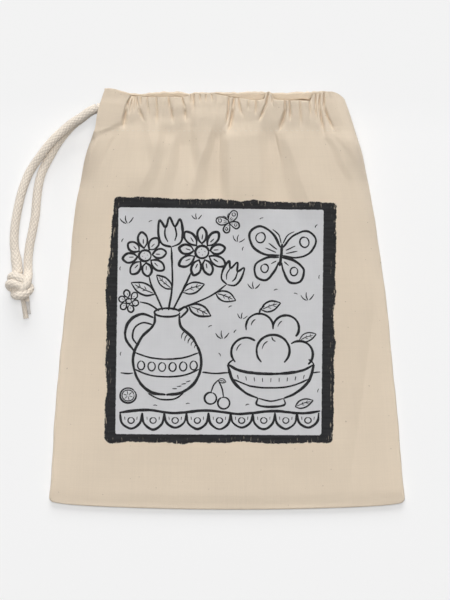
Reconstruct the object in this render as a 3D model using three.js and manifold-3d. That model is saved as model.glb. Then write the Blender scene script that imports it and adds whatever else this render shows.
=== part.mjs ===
// A small cotton drawstring bag, lying flat on its back with its front face up.
// Millimetres. +X to the bag's right as seen from the front, +Y towards the mouth, +Z out of the front face.
// The origin is under the middle of the bag, on the surface that it lies on.

import * as THREE from 'three';
import Module from 'manifold-3d';
import { mergeVertices } from 'three/addons/utils/BufferGeometryUtils.js';

const wasm = await Module();
wasm.setup();

// Cloth body
const bagWidth = 250;
const bagLength = 296;
const clothThickness = 0.6;
const touchGap = 0.3;
const cornerRadius = 4;
const bottomBow = 3.5;
const panelSwell = 6.4;

// How each side edge leans in towards the drawn mouth
const sideLean = 22.2;
const gatherPull = 20.1;
const gatherPower = 4.4;
const mouthDrift = -3;

// Drawcord and the casing that holds it
const cordDiameter = 6;
const cordSlack = 0.3;
const cordSides = 8;
const cordBelowTop = 12;
const casingDepth = 28.3;
const frontDrop = 4.3;
const mouthGap = 5;
const leftEndLength = 18;
const rightEndLength = 14;
const leftEndLean = 0.32;
const rightEndFlare = 0.69;
const hemWidth = 1.2;
const gatherCount = 8;
const gatherRise = 0.8;
const gatherWave = 0.9;

// Seams inside the bag
const seamAllowance = 8;
const seamInset = 2.6;
const seamThickness = 1.2;
const threadWidth = 0.5;
const threadInset = 1.2;
const stitchLength = 2.4;
const stitchPitch = 3.6;
const stitchHeight = 0.3;
const dipWidth = 0.2;

// Ink of the printed picture
const printWidth = 164;
const printHeight = 175;
const printBorder = 10;
const printMiddleX = -3;
const printMiddleY = -14.8;
const inkThickness = 0.2;
const brushWobble = 1.1;

// Knot and the two tails of the cord
const knotWidth = 21;
const knotLength = 24.5;
const knotHeight = 14.6;
const knotX = -145.8;
const knotY = 10.6;
const leftTailDiameter = 4.2;
const rightTailDiameter = 3;
const tipDiameter = 3.2;

// Places that follow from the sizes above
const topY = bagLength / 2;
const cordY = topY - cordBelowTop;
const casingBottomY = topY - casingDepth;
const cordRadius = cordDiameter / 2;
const cordRoom = cordDiameter + 2 * cordSlack;
const cordLift = clothThickness + cordRoom / 2;
const casingHeight = 2 * clothThickness + cordRoom;
const frontLift = casingHeight + mouthGap;
const backCordZ = cordLift;
const frontCordZ = frontLift + cordLift;
const bendRadius = (frontCordZ - backCordZ) / 2;
const bendZ = (frontCordZ + backCordZ) / 2;
const panelTop = casingBottomY + topY - touchGap;
const rimZ = clothThickness + touchGap;
const seamTopZ = rimZ + seamThickness;
const panelOverSeam = seamTopZ + touchGap;
const rimWidth = 2;

const cloth = new THREE.MeshStandardMaterial({ color: 0xdccfba, roughness: 0.92, metalness: 0 });
const seamCloth = new THREE.MeshStandardMaterial({ color: 0xd2c4ae, roughness: 0.92, metalness: 0 });
const cotton = new THREE.MeshStandardMaterial({ color: 0xe0d6c6, roughness: 0.88, metalness: 0 });
const thread = new THREE.MeshStandardMaterial({ color: 0xe2d8c6, roughness: 0.8, metalness: 0 });
const blackInk = new THREE.MeshStandardMaterial({ color: 0x2a2a2c, roughness: 0.75, metalness: 0 });
const greyInk = new THREE.MeshStandardMaterial({ color: 0xc5c5c8, roughness: 0.8, metalness: 0 });
const tipPlastic = new THREE.MeshStandardMaterial({ color: 0xbdb8b2, roughness: 0.35, metalness: 0 });

const bag = new THREE.Group();

function addPiece(name, geometry, material) {
  const mesh = new THREE.Mesh(geometry, material);
  mesh.name = name;
  bag.add(mesh);
}

// Turns a mesh inside out where its faces point in, by the sign of its volume.
function facingOut(geometry) {
  const p = geometry.attributes.position;
  const index = geometry.index.array;
  const a = new THREE.Vector3();
  const b = new THREE.Vector3();
  const c = new THREE.Vector3();
  let volume = 0;
  for (let i = 0; i < index.length; i += 3) {
    a.fromBufferAttribute(p, index[i]);
    b.fromBufferAttribute(p, index[i + 1]);
    c.fromBufferAttribute(p, index[i + 2]);
    volume += a.dot(b.cross(c));
  }
  if (volume < 0) {
    for (let i = 0; i < index.length; i += 3) {
      [index[i + 1], index[i + 2]] = [index[i + 2], index[i + 1]];
    }
  }
  return geometry;
}

function geometryFrom(points, triangles) {
  const geometry = new THREE.BufferGeometry();
  geometry.setAttribute('position', new THREE.Float32BufferAttribute(points.flatMap((p) => [p.x, p.y, p.z]), 3));
  geometry.setIndex(triangles.flat());
  geometry.computeVertexNormals();
  return facingOut(geometry);
}

// A closed sheet between two grids of points with as many rows and columns, upper over under.
function closedSheet(upper, under) {
  const rows = upper.length;
  const columns = upper[0].length;
  const points = [...upper.flat(), ...under.flat()];
  const half = rows * columns;
  const triangles = [];
  for (let i = 0; i < rows - 1; i++) {
    for (let j = 0; j < columns - 1; j++) {
      const a = i * columns + j;
      const b = a + 1;
      const c = a + columns;
      const d = c + 1;
      triangles.push([a, b, d], [a, d, c], [half + a, half + d, half + b], [half + a, half + c, half + d]);
    }
  }
  const rim = [];
  for (let j = 0; j < columns - 1; j++) rim.push(j);
  for (let i = 0; i < rows - 1; i++) rim.push(i * columns + columns - 1);
  for (let j = columns - 1; j > 0; j--) rim.push((rows - 1) * columns + j);
  for (let i = rows - 1; i > 0; i--) rim.push(i * columns);
  rim.forEach((a, k) => {
    const b = rim[(k + 1) % rim.length];
    triangles.push([a, half + a, half + b], [a, half + b, b]);
  });
  return geometryFrom(points, triangles);
}

// A closed pipe wall between two loops of points at each station, open at both ends.
function pipeWall(stations) {
  const count = stations[0].outer.length;
  const points = stations.flatMap((s) => [...s.outer, ...s.inner]);
  const triangles = [];
  const at = (station, ring, k) => station * 2 * count + ring * count + (k % count);
  const quad = (a, b, c, d) => triangles.push([a, b, c], [a, c, d]);
  for (let k = 0; k < count; k++) {
    for (let i = 0; i < stations.length - 1; i++) {
      quad(at(i, 0, k), at(i, 0, k + 1), at(i + 1, 0, k + 1), at(i + 1, 0, k));
      quad(at(i, 1, k + 1), at(i, 1, k), at(i + 1, 1, k), at(i + 1, 1, k + 1));
    }
    const last = stations.length - 1;
    quad(at(0, 0, k + 1), at(0, 0, k), at(0, 1, k), at(0, 1, k + 1));
    quad(at(last, 0, k), at(last, 0, k + 1), at(last, 1, k + 1), at(last, 1, k));
  }
  return geometryFrom(points, triangles);
}

function asSolid(geometry) {
  const bare = geometry.clone();
  bare.deleteAttribute('normal');
  bare.deleteAttribute('uv');
  const merged = mergeVertices(bare, 1e-4);
  return new wasm.Manifold(
    new wasm.Mesh({
      numProp: 3,
      vertProperties: new Float32Array(merged.attributes.position.array),
      triVerts: new Uint32Array(merged.index.array),
    }),
  );
}

function asGeometry(solid) {
  const mesh = solid.getMesh();
  const geometry = new THREE.BufferGeometry();
  geometry.setAttribute('position', new THREE.BufferAttribute(new Float32Array(mesh.vertProperties), 3));
  geometry.setIndex(new THREE.BufferAttribute(new Uint32Array(mesh.triVerts), 1));
  geometry.computeVertexNormals();
  return geometry;
}

function clamp(value, low, high) {
  return Math.min(Math.max(value, low), high);
}

function circle(radius, sides) {
  const shape = new THREE.Shape();
  for (let k = 0; k < sides; k++) {
    const turn = (2 * Math.PI * k) / sides;
    const point = [radius * Math.cos(turn), radius * Math.sin(turn)];
    if (k === 0) shape.moveTo(...point);
    else shape.lineTo(...point);
  }
  shape.closePath();
  return shape;
}

function tubeAlong(path, radius, steps) {
  return new THREE.ExtrudeGeometry(circle(radius, cordSides), { steps, extrudePath: path, bevelEnabled: false });
}

// The flat outline: rise is the distance up from the bottom edge.
function halfWidth(rise) {
  const share = clamp(rise / bagLength, 0, 1);
  const nearCorner = Math.max(cornerRadius - rise, 0);
  const corner = cornerRadius - Math.sqrt(cornerRadius ** 2 - nearCorner ** 2);
  return bagWidth / 2 - sideLean * share - gatherPull * share ** gatherPower - corner;
}

function middleX(rise) {
  return (mouthDrift * rise) / bagLength;
}

function yAt(rise, across) {
  return rise - topY + bottomBow * across ** 2 * (1 - rise / bagLength) ** 2;
}

// The underside of the front panel: low along the seams, swelling up towards the mouth and pinched down where it is
// sewn to the casing. across runs from -1 at the left edge to 1 at the right edge.
const lowFullness = 2.5;
const mouthFullness = 16;
const pinchPower = 24;

function frontUnderZ(rise, across) {
  const share = clamp(rise / panelTop, 0, 1);
  const fromEdge = Math.min(halfWidth(rise) * (1 - Math.abs(across)), rise);
  const rim = (panelOverSeam - rimZ) * clamp(fromEdge / rimWidth, 0, 1);
  const lift = (frontLift - panelOverSeam) * share + panelSwell * share * (1 - share ** pinchPower);
  const fullness = lowFullness + (mouthFullness - lowFullness) * share;
  return rimZ + rim + lift * (1 - Math.abs(across) ** fullness);
}

const edgeColumns = [0, 2, 5, 10, 18];
const innerColumns = [0.9, 0.75, 0.6, 0.4, 0.2];
const panelRises = [0, 1, 2, 14, 40, 75, 110, 145, 180, 210, 235, 250, 260, panelTop];

// Shares across the panel from edge to edge, closer together near the seams.
function acrossAt(rise) {
  const w = halfWidth(rise);
  const right = [
    ...innerColumns.map((share) => (share * (w - edgeColumns.at(-1))) / w).reverse(),
    ...edgeColumns.map((inset) => (w - inset) / w).reverse(),
  ];
  return [...right.map((a) => -a).reverse(), 0, ...right];
}

function panel(zOf) {
  const grid = (lift) =>
    panelRises.map((rise) =>
      acrossAt(rise).map(
        (a) => new THREE.Vector3(middleX(rise) + a * halfWidth(rise), yAt(rise, a), zOf(rise, a) + lift),
      ),
    );
  return closedSheet(grid(clothThickness), grid(0));
}

addPiece('back_panel', panel(() => 0), cloth);
addPiece('front_panel', panel(frontUnderZ), cloth);

// A strip that follows a side edge inside the bag, between two distances in from that edge.
function sideStrip(side, nearEdge, farEdge, lowZ, highZ) {
  const rises = [4, 20, 50, 85, 120, 150, 180, 205, 225, 245, panelTop - 2];
  const grid = (z) =>
    rises.map((rise) =>
      [farEdge, nearEdge].map((inset) => {
        const w = halfWidth(rise);
        const across = (side * (w - inset)) / w;
        return new THREE.Vector3(middleX(rise) + across * w, yAt(rise, across), z);
      }),
    );
  return closedSheet(grid(highZ), grid(lowZ));
}

function bottomStrip(nearEdge, farEdge, endInset, lowZ, highZ) {
  const shares = [-1, -0.66, -0.33, 0, 0.33, 0.66, 1];
  const grid = (z) =>
    [nearEdge, farEdge].map((rise) =>
      shares.map((share) => {
        const across = share * (1 - endInset / (bagWidth / 2));
        return new THREE.Vector3(middleX(rise) + across * (bagWidth / 2), yAt(rise, across), z);
      }),
    );
  return closedSheet(grid(highZ), grid(lowZ));
}

const seamEnd = seamInset + seamAllowance;
for (const [name, side] of [['left', -1], ['right', 1]]) {
  addPiece(`${name}_side_seam`, sideStrip(side, seamInset, seamEnd, rimZ, seamTopZ), seamCloth);
  addPiece(
    `${name}_seam_thread`,
    sideStrip(side, threadInset, threadInset + threadWidth, rimZ, rimZ + threadWidth),
    thread,
  );
}
const besideSideSeam = seamEnd + touchGap + cornerRadius;
addPiece('bottom_seam', bottomStrip(seamInset, seamEnd, besideSideSeam, rimZ, seamTopZ), seamCloth);
addPiece(
  'bottom_seam_thread',
  bottomStrip(threadInset, threadInset + threadWidth, besideSideSeam, rimZ, rimZ + threadWidth),
  thread,
);

// The casing is the turned-down hem that holds the cord. One wall lies flat and the other bulges over the cord.
// up is the distance above the cord's middle, towards the mouth's edge.
const upperPower = 2.5;
const lowerPower = 1.4;

function boreHeight(up, reach) {
  return up > 0 ? cordRoom * (1 - (up / reach.top) ** upperPower) : cordRoom * (1 - (-up / reach.bottom) ** lowerPower);
}

const wallShares = [-1, -0.7, -0.4, -0.18, 0, 0.28, 0.7, 1];

// One station of the casing. turn is 0 on the front run and half a turn on the back run, and the bulged wall is the
// outer one on the front and the inner one on the back, so that each run lies on its flat wall.
function casingStation({ x, z, turn, topReach, flare = () => 0, rib = 0 }) {
  const reach = { top: topReach, bottom: casingDepth - cordBelowTop };
  const k = turn / Math.PI;
  const blend = 0.5 - 0.5 * Math.cos(k * Math.PI);
  const loop = (inset, upInset) => {
    const place = (share, outward) => {
      const full = share * (share > 0 ? reach.top : reach.bottom);
      const up = clamp(full, -(reach.bottom - upInset.bottom), reach.top - upInset.top);
      const bulged = clothThickness * 2 + boreHeight(up, reach) - cordLift + rib * (1 - share ** 2);
      const flat = cordLift;
      const offset = outward
        ? (1 - blend) * bulged + blend * flat - inset
        : -((1 - blend) * flat + blend * bulged - inset);
      return new THREE.Vector3(x + flare(up) + offset * Math.sin(turn), cordY + up, z + offset * Math.cos(turn));
    };
    return [...wallShares.map((s) => place(s, true)), ...[...wallShares].reverse().map((s) => place(s, false))];
  };
  return {
    outer: loop(0, { top: 0, bottom: 0 }),
    inner: loop(clothThickness, { top: clothThickness, bottom: hemWidth }),
  };
}

const cordRise = cordY + topY;
const exitX = middleX(cordRise) - halfWidth(cordRise);
const bendX = middleX(cordRise) + halfWidth(cordRise) - bendRadius - cordLift;
const leftEndX = exitX + leftEndLength;
const rightEndX = bendX - rightEndLength;
const backReach = cordBelowTop;
const frontReach = cordBelowTop - frontDrop;

// The gathered middle of a casing, between the two ends, with its folds standing up in shallow ribs.
function casingMiddle(z, turn, topReach, rise) {
  const start = leftEndX + touchGap;
  const end = rightEndX - touchGap;
  const perFold = 3;
  const count = gatherCount * perFold;
  const stations = [];
  for (let i = 0; i <= count; i++) {
    const phase = (2 * Math.PI * i) / perFold;
    const swell = 0.5 - 0.5 * Math.cos(phase);
    stations.push(
      casingStation({
        x: start + ((end - start) * i) / count,
        z,
        turn,
        topReach: topReach - gatherWave * swell,
        rib: rise * swell,
      }),
    );
  }
  return pipeWall(stations);
}

addPiece('front_casing', casingMiddle(frontCordZ, 0, frontReach, gatherRise), cloth);
addPiece('back_casing', casingMiddle(backCordZ, Math.PI, backReach, 0), cloth);

function leftEnd(z, turn, topReach) {
  const slant = (share) => (up) => leftEndLean * up * share;
  return pipeWall([
    casingStation({ x: exitX, z, turn, topReach, flare: slant(1) }),
    casingStation({ x: (exitX + leftEndX) / 2, z, turn, topReach, flare: slant(0.5) }),
    casingStation({ x: leftEndX, z, turn, topReach }),
  ]);
}

addPiece('front_left_casing_end', leftEnd(frontCordZ, 0, frontReach), cloth);
addPiece('back_left_casing_end', leftEnd(backCordZ, Math.PI, backReach), cloth);

// The right end runs on round the side of the bag, so the cord turns back inside it.
const bendSteps = 12;
const clearOfCord = cordRadius + cordSlack + clothThickness;
const flareOut = (share) => (up) => share * rightEndFlare * Math.max(-up - clearOfCord, 0);
const rightStations = [];
for (const share of [0, 0.5]) {
  const x = rightEndX + rightEndLength * share;
  rightStations.push(casingStation({ x, z: frontCordZ, turn: 0, topReach: frontReach, flare: flareOut(share) }));
}
for (let i = 0; i <= bendSteps; i++) {
  const turn = (Math.PI * i) / bendSteps;
  const topReach = frontReach + (backReach - frontReach) * (i / bendSteps);
  rightStations.push(
    casingStation({
      x: bendX + bendRadius * Math.sin(turn),
      z: bendZ + bendRadius * Math.cos(turn),
      turn,
      topReach,
      flare: flareOut(1),
    }),
  );
}
for (const share of [0.5, 0]) {
  const x = rightEndX + rightEndLength * share;
  rightStations.push(casingStation({ x, z: backCordZ, turn: Math.PI, topReach: backReach, flare: flareOut(share) }));
}
addPiece('right_casing_end', pipeWall(rightStations), cloth);

// One row of stitching along the bottom of each casing: a flat thread, wide at each stitch and narrow where it dips.
function hemStitches(lift) {
  const start = leftEndX + stitchPitch;
  const end = rightEndX - stitchPitch;
  const count = Math.floor((end - start) / stitchPitch);
  const up = -(casingDepth - cordBelowTop - hemWidth / 2);
  const reach = { top: frontReach, bottom: casingDepth - cordBelowTop };
  const z = lift + 2 * clothThickness + boreHeight(up, reach) + touchGap;
  const marks = [];
  for (let i = 0; i < count; i++) {
    const x = start + i * stitchPitch;
    marks.push([x, threadWidth], [x + stitchLength, dipWidth]);
  }
  const grid = (height) =>
    [0, 1].map((side) =>
      marks.map(([x, width]) => new THREE.Vector3(x, cordY + up - threadWidth / 2 + (side - 0.5) * width, height)),
    );
  return closedSheet(grid(z + stitchHeight), grid(z));
}

addPiece('front_hem_stitches', hemStitches(frontLift), thread);
addPiece('back_hem_stitches', hemStitches(0), thread);

// The print is a skin of ink over the front panel: a plain ground inside a border with brushed edges.
function frontTopZ(x, y) {
  let rise = y + topY;
  let across = 0;
  for (let pass = 0; pass < 2; pass++) {
    across = clamp((x - middleX(rise)) / halfWidth(rise), -1, 1);
    rise = y + topY - (yAt(rise, across) - (rise - topY));
  }
  return frontUnderZ(rise, across) + clothThickness;
}

function inkPoint(x, y, lift) {
  return new THREE.Vector3(x, y, frontTopZ(x, y) + touchGap + lift);
}

const groundHalfX = printWidth / 2 - printBorder;
const groundHalfY = printHeight / 2 - printBorder;

function printGround() {
  const parts = 12;
  const shares = Array.from({ length: parts + 1 }, (_, i) => (2 * i) / parts - 1);
  const grid = (lift) =>
    shares.map((v) =>
      shares.map((u) =>
        inkPoint(
          printMiddleX + u * (groundHalfX - touchGap),
          printMiddleY + v * (groundHalfY - touchGap),
          lift,
        ),
      ),
    );
  return closedSheet(grid(inkThickness), grid(0));
}

// The border is a closed ring: an even inner edge, and an outer edge that wavers as a loaded brush does.
function printBorderRing() {
  const perSide = 12;
  const corners = [[-1, -1], [1, -1], [1, 1], [-1, 1]];
  const stations = [];
  for (let side = 0; side < 4; side++) {
    const [ax, ay] = corners[side];
    const [bx, by] = corners[(side + 1) % 4];
    for (let i = 0; i < perSide; i++) {
      const share = i / perSide;
      stations.push([ax + (bx - ax) * share, ay + (by - ay) * share]);
    }
  }
  const count = stations.length;
  const waver = (k) => brushWobble * (0.6 * Math.sin(1.9 * k) + 0.4 * Math.sin(0.7 * k + 1)) * (k % perSide ? 1 : 0);
  const points = [];
  for (const lift of [inkThickness, 0]) {
    for (const outer of [true, false]) {
      stations.forEach(([u, v], k) => {
        const w = outer ? waver(k) : 0;
        const halfX = (outer ? printWidth / 2 - brushWobble : groundHalfX) + w;
        const halfY = (outer ? printHeight / 2 - brushWobble : groundHalfY) + w;
        points.push(inkPoint(printMiddleX + u * halfX, printMiddleY + v * halfY, lift));
      });
    }
  }
  const triangles = [];
  const at = (ring, k) => ring * count + (k % count);
  const quad = (a, b, c, d) => triangles.push([a, b, c], [a, c, d]);
  for (let k = 0; k < count; k++) {
    quad(at(0, k), at(0, k + 1), at(1, k + 1), at(1, k));
    quad(at(3, k), at(3, k + 1), at(2, k + 1), at(2, k));
    quad(at(2, k), at(2, k + 1), at(0, k + 1), at(0, k));
    quad(at(1, k), at(1, k + 1), at(3, k + 1), at(3, k));
  }
  return geometryFrom(points, triangles);
}

addPiece('print_ground', printGround(), greyInk);
addPiece('print_border', printBorderRing(), blackInk);

// Inside the casings the cord is one hairpin: along the front, round the right end, and back along the back.
class Hairpin extends THREE.Curve {
  constructor(startX, legSteps, turnSteps) {
    super();
    this.startX = startX;
    this.legShare = legSteps / (2 * legSteps + turnSteps);
  }

  getUtoTmapping(u) {
    return u;
  }

  getPoint(t) {
    const leg = this.legShare;
    if (t <= leg) return new THREE.Vector3(this.startX + ((bendX - this.startX) * t) / leg, cordY, frontCordZ);
    if (t >= 1 - leg) {
      return new THREE.Vector3(this.startX + ((bendX - this.startX) * (1 - t)) / leg, cordY, backCordZ);
    }
    const turn = (Math.PI * (t - leg)) / (1 - 2 * leg);
    return new THREE.Vector3(bendX + bendRadius * Math.sin(turn), cordY, bendZ + bendRadius * Math.cos(turn));
  }
}

const legSteps = 12;
const heldCord = new Hairpin(exitX, legSteps, bendSteps);
addPiece('drawcord_in_casing', tubeAlong(heldCord, cordRadius, 2 * legSteps + bendSteps), cotton);

// Outside the bag the two strands hang down from the exit, the front one over the back one, lie side by side on the
// surface and end in the knot. Each point is [x, y, height of the cord's middle].
const strandStartX = exitX - cordRadius - touchGap;
const frontStrandRoute = [
  [-97.2, 134.9, 16.2],
  [-102.6, 131.4, 14.4],
  [-108.6, 127.0, 12.0],
  [-115.4, 120.9, 10.2],
  [-121.8, 114.2, 9.2],
  [-127.6, 107.6, 8.0],
  [-132.3, 101.6, 6.1],
  [-136.7, 95.6, 4.0],
  [-139.8, 90.6, 3.2],
  [-142.4, 84.6, 3.05],
  [-145.2, 76.2, 3.05],
  [-148.0, 64.2, 3.05],
  [-150.0, 51.0, 3.05],
  [-150.6, 39.5, 3.05],
  [-149.8, 30.4, 3.05],
  [-147.8, 23.8, 3.6],
  [-146.9, 19.6, 4.4],
];
const backStrandRoute = [
  [-97.2, 134.9, 3.7],
  [-102.6, 131.0, 3.3],
  [-108.4, 125.5, 3.05],
  [-113.6, 119.4, 3.05],
  [-118.2, 113.6, 3.05],
  [-121.9, 107.8, 3.05],
  [-125.2, 101.7, 3.05],
  [-128.0, 96.0, 3.05],
  [-131.0, 89.2, 3.05],
  [-133.4, 80.6, 3.05],
  [-134.6, 71.0, 3.05],
  [-135.4, 60.8, 3.05],
  [-137.4, 49.6, 3.05],
  [-139.4, 39.6, 3.05],
  [-140.5, 30.4, 3.05],
  [-140.6, 24.0, 3.6],
  [-140.5, 19.6, 4.4],
];
const strandSteps = 26;

function routeFrom(startZ, route, beyond = 0) {
  const points = [new THREE.Vector3(strandStartX, cordY, startZ), ...route.map((p) => new THREE.Vector3(...p))];
  if (beyond) {
    const end = points.at(-1);
    const way = end.clone().sub(points.at(-2)).normalize();
    points.push(end.clone().addScaledVector(way, beyond));
  }
  return new THREE.CatmullRomCurve3(points, false, 'centripetal');
}

// A strand starts in a round end, about which it swings at the exit.
function strand(startZ, route) {
  const ball = new THREE.SphereGeometry(cordRadius, 8, 6).rotateX(Math.PI / 2);
  ball.translate(strandStartX, cordY, startZ);
  const tube = tubeAlong(routeFrom(startZ, route), cordRadius, strandSteps);
  return asGeometry(asSolid(tube).add(asSolid(ball)));
}

addPiece('front_strand', strand(frontCordZ, frontStrandRoute), cotton);
addPiece('back_strand', strand(backCordZ, backStrandRoute), cotton);

// Tails below the knot. The right one lies over the left one and is bound by a smooth tip.
const leftTailRoute = [
  [-144.6, 4.2, 2.4],
  [-144.1, 0.4, 2.15],
  [-143.4, -5.4, 2.15],
  [-142.4, -11.9, 2.15],
];
const rightTailRoute = [
  [-141.4, 4.6, 4.6],
  [-140.9, 2.6, 4.5],
  [-140.6, -0.8, 4.4],
];
const tipRoute = [
  [-140.55, -1.1, 4.4],
  [-140.2, -5.0, 4.35],
  [-139.8, -9.4, 4.3],
];

function curveThrough(points) {
  return new THREE.CatmullRomCurve3(points.map((p) => new THREE.Vector3(...p)), false, 'centripetal');
}

addPiece('left_tail', tubeAlong(curveThrough(leftTailRoute), leftTailDiameter / 2, 6), cotton);
addPiece('right_tail', tubeAlong(curveThrough(rightTailRoute), rightTailDiameter / 2, 4), cotton);
addPiece('right_tail_tip', tubeAlong(curveThrough(tipRoute), tipDiameter / 2, 4), tipPlastic);

// The knot is a lumpy ball with one slanted wrap, and a socket for each strand and tail that runs into it.
function knot() {
  const ball = new THREE.SphereGeometry(1, 20, 12).rotateX(Math.PI / 2);
  const p = ball.attributes.position;
  const wrapLean = 0.5;
  const wrapRise = 0.16;
  const waist = 0.1;
  for (let i = 0; i < p.count; i++) {
    const x = p.getX(i);
    const y = p.getY(i);
    const z = p.getZ(i);
    const along = y - wrapLean * x;
    const swell = 1 + wrapRise * Math.exp(-((along / 0.4) ** 2)) - waist * y ** 2;
    const lowest = 0;
    p.setXYZ(
      i,
      knotX + (x * swell * knotWidth) / 2 / (1 + wrapRise),
      knotY + (y * swell * knotLength) / 2,
      Math.max((knotHeight / 2) * (1 + z * Math.min(swell, 1.05)), lowest),
    );
  }
  let solid = asSolid(ball);
  const socketRadius = cordRadius + touchGap;
  for (const [startZ, route] of [[frontCordZ, frontStrandRoute], [backCordZ, backStrandRoute]]) {
    solid = solid.subtract(asSolid(tubeAlong(routeFrom(startZ, route, touchGap), socketRadius, strandSteps)));
  }
  for (const [route, diameter] of [[leftTailRoute, leftTailDiameter], [rightTailRoute, rightTailDiameter]]) {
    const [first, second] = route.map((point) => new THREE.Vector3(...point));
    const back = first.clone().addScaledVector(first.clone().sub(second).normalize(), touchGap);
    const path = curveThrough([back.toArray(), ...route]);
    solid = solid.subtract(asSolid(tubeAlong(path, diameter / 2 + touchGap, 6)));
  }
  return asGeometry(solid);
}

addPiece('knot', knot(), cotton);

export default bag;
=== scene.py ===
"""A small cotton drawstring bag, lying flat: its cloth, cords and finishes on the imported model."""

import bpy
import numpy as np
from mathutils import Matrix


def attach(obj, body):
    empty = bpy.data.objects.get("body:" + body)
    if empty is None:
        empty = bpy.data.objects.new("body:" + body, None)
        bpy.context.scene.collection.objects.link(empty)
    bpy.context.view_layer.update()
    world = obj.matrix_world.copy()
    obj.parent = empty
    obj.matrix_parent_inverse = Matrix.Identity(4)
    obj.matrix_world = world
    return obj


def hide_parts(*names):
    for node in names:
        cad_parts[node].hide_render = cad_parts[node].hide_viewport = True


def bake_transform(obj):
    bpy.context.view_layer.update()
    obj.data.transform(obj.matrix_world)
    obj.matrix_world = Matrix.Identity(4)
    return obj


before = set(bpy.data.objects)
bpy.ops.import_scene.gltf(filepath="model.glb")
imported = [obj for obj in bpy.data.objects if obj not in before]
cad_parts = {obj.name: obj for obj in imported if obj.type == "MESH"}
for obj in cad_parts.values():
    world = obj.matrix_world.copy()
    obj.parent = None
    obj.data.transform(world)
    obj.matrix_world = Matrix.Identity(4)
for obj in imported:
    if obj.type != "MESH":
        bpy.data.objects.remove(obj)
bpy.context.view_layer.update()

# Lengths are millimetres until a mesh is made.
MM = 0.001

BAG_WIDTH = 250
BAG_LENGTH = 296
TOP_Y = 148
CORNER_RADIUS = 4
BOTTOM_BOW = 3.5
SIDE_LEAN = 22.2
GATHER_PULL = 20.1
GATHER_POWER = 4.4
MOUTH_DRIFT = -3

CORD_Y = 136
CORD_ROOM = 6.6
CASING_BOTTOM = 119.7
LOWER_REACH = CORD_Y - CASING_BOTTOM
FRONT_LIFT = 12.8
FRONT_CORD_Z = 16.7
BACK_CORD_Z = 3.9
UPPER_POWER = 2.5
LOWER_POWER = 1.4
LOW_FULLNESS = 2.5
MOUTH_FULLNESS = 16
PANEL_TOP = 267.4
PANEL_FOOT_Z = 2.7
BACK_Z = 0.3
HEM_FOLD_Y = 122.6
HEM_LINE = 119.5
STITCH_PITCH = 3.6
STITCH_LENGTH = 2.5
TOP_RISE = 291.0
MOUTH_RISE = 284.0
FAR_FROM_FOOT = 50.0

CLOTH = 0.5
HALF_CLOTH = CLOTH / 2
EDGE_OUT = 0.6
SEAM_Z = 0.75
FOOT_REACH = 0.3

CORD_RADIUS = 3.0
STRAND_RADIUS = 3.1
BEND_X = 73.77
BEND_RADIUS = 6.4
BEND_Z = 10.3
CURL_X = 76.2
CURL_REACH = 2.6
BEND_ROOM = 8.6
STRAND_START_X = -91.5


def smooth(t):
    """Smoothstep: 3t^2 - 2t^3, with t held between 0 and 1."""
    t = np.clip(t, 0.0, 1.0)
    return t * t * (3.0 - 2.0 * t)


def mix(a, b, t):
    """a where t is 0, b where t is 1, in a straight line between."""
    return a + (b - a) * t


def rounded(t):
    """A quarter circle's rise from 0 to 1, steep at first, with t held between 0 and 1."""
    return np.sqrt(np.clip(1 - (1 - np.clip(t, 0, 1)) ** 2, 0, 1))


def bump(t):
    """A bell that is 1 where t is 0: e to the power of minus t squared."""
    return np.exp(-(t**2))


def lattice(x, y, cell, seed):
    """Smooth noise from -1 to 1: random heights at the corners of a lattice, joined by smoothstep."""
    heights = np.random.default_rng(seed).uniform(-1, 1, (64, 64))
    u = np.asarray(x) / cell[0] + 1000.0
    v = np.asarray(y) / cell[1] + 1000.0
    i = np.floor(u).astype(int)
    j = np.floor(v).astype(int)
    a = smooth(u - i)
    b = smooth(v - j)
    low = mix(heights[i % 64, j % 64], heights[(i + 1) % 64, j % 64], a)
    high = mix(heights[i % 64, (j + 1) % 64], heights[(i + 1) % 64, (j + 1) % 64], a)
    return mix(low, high, b)


def uneven(x, cell, seed):
    """Smooth noise from -1 to 1 along one direction."""
    return lattice(x, 0 * x, (cell, 9), seed)


def walked(path):
    """Distance from the first point to each point of a path, along its straight parts."""
    return np.concatenate([[0], np.cumsum(np.linalg.norm(np.diff(path, axis=0), axis=1))])


def curve_through(points, step):
    """Centripetal Catmull-Rom through points, as equally spaced points a step apart."""
    p = np.array(points, float)
    p = np.vstack([2 * p[0] - p[1], p, 2 * p[-1] - p[-2]])
    dense = []
    for k in range(1, len(p) - 2):
        a, b, c, d = p[k - 1 : k + 3]
        ta = np.linalg.norm(b - a) ** 0.5
        tb = ta + np.linalg.norm(c - b) ** 0.5
        tc = tb + np.linalg.norm(d - c) ** 0.5
        t = np.linspace(ta, tb, 24, endpoint=False)[:, None]
        ab = a + (b - a) * t / ta
        bc = b + (c - b) * (t - ta) / (tb - ta)
        cd = c + (d - c) * (t - tb) / (tc - tb)
        abc = ab + (bc - ab) * t / tb
        bcd = bc + (cd - bc) * (t - ta) / (tc - ta)
        dense.append(abc + (bcd - abc) * (t - ta) / (tb - ta))
    dense = np.vstack([*dense, p[-2:-1]])
    along = walked(dense)
    count = max(2, int(round(along[-1] / step)) + 1)
    at = np.linspace(0, along[-1], count)
    return np.stack([np.interp(at, along, dense[:, axis]) for axis in range(p.shape[1])], axis=1)


# Meshes


def quads(rows, columns, first=0, wrap=False):
    """Faces of a grid of rows by columns from vertex first on; wrap joins the last column to the first."""
    i = np.arange(rows - 1)[:, None]
    j = np.arange(columns if wrap else columns - 1)[None, :]
    k = (j + 1) % columns
    a = i * columns + j
    b = i * columns + k
    return first + np.stack([a, b, b + columns, a + columns], axis=-1).reshape(-1, 4)


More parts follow.
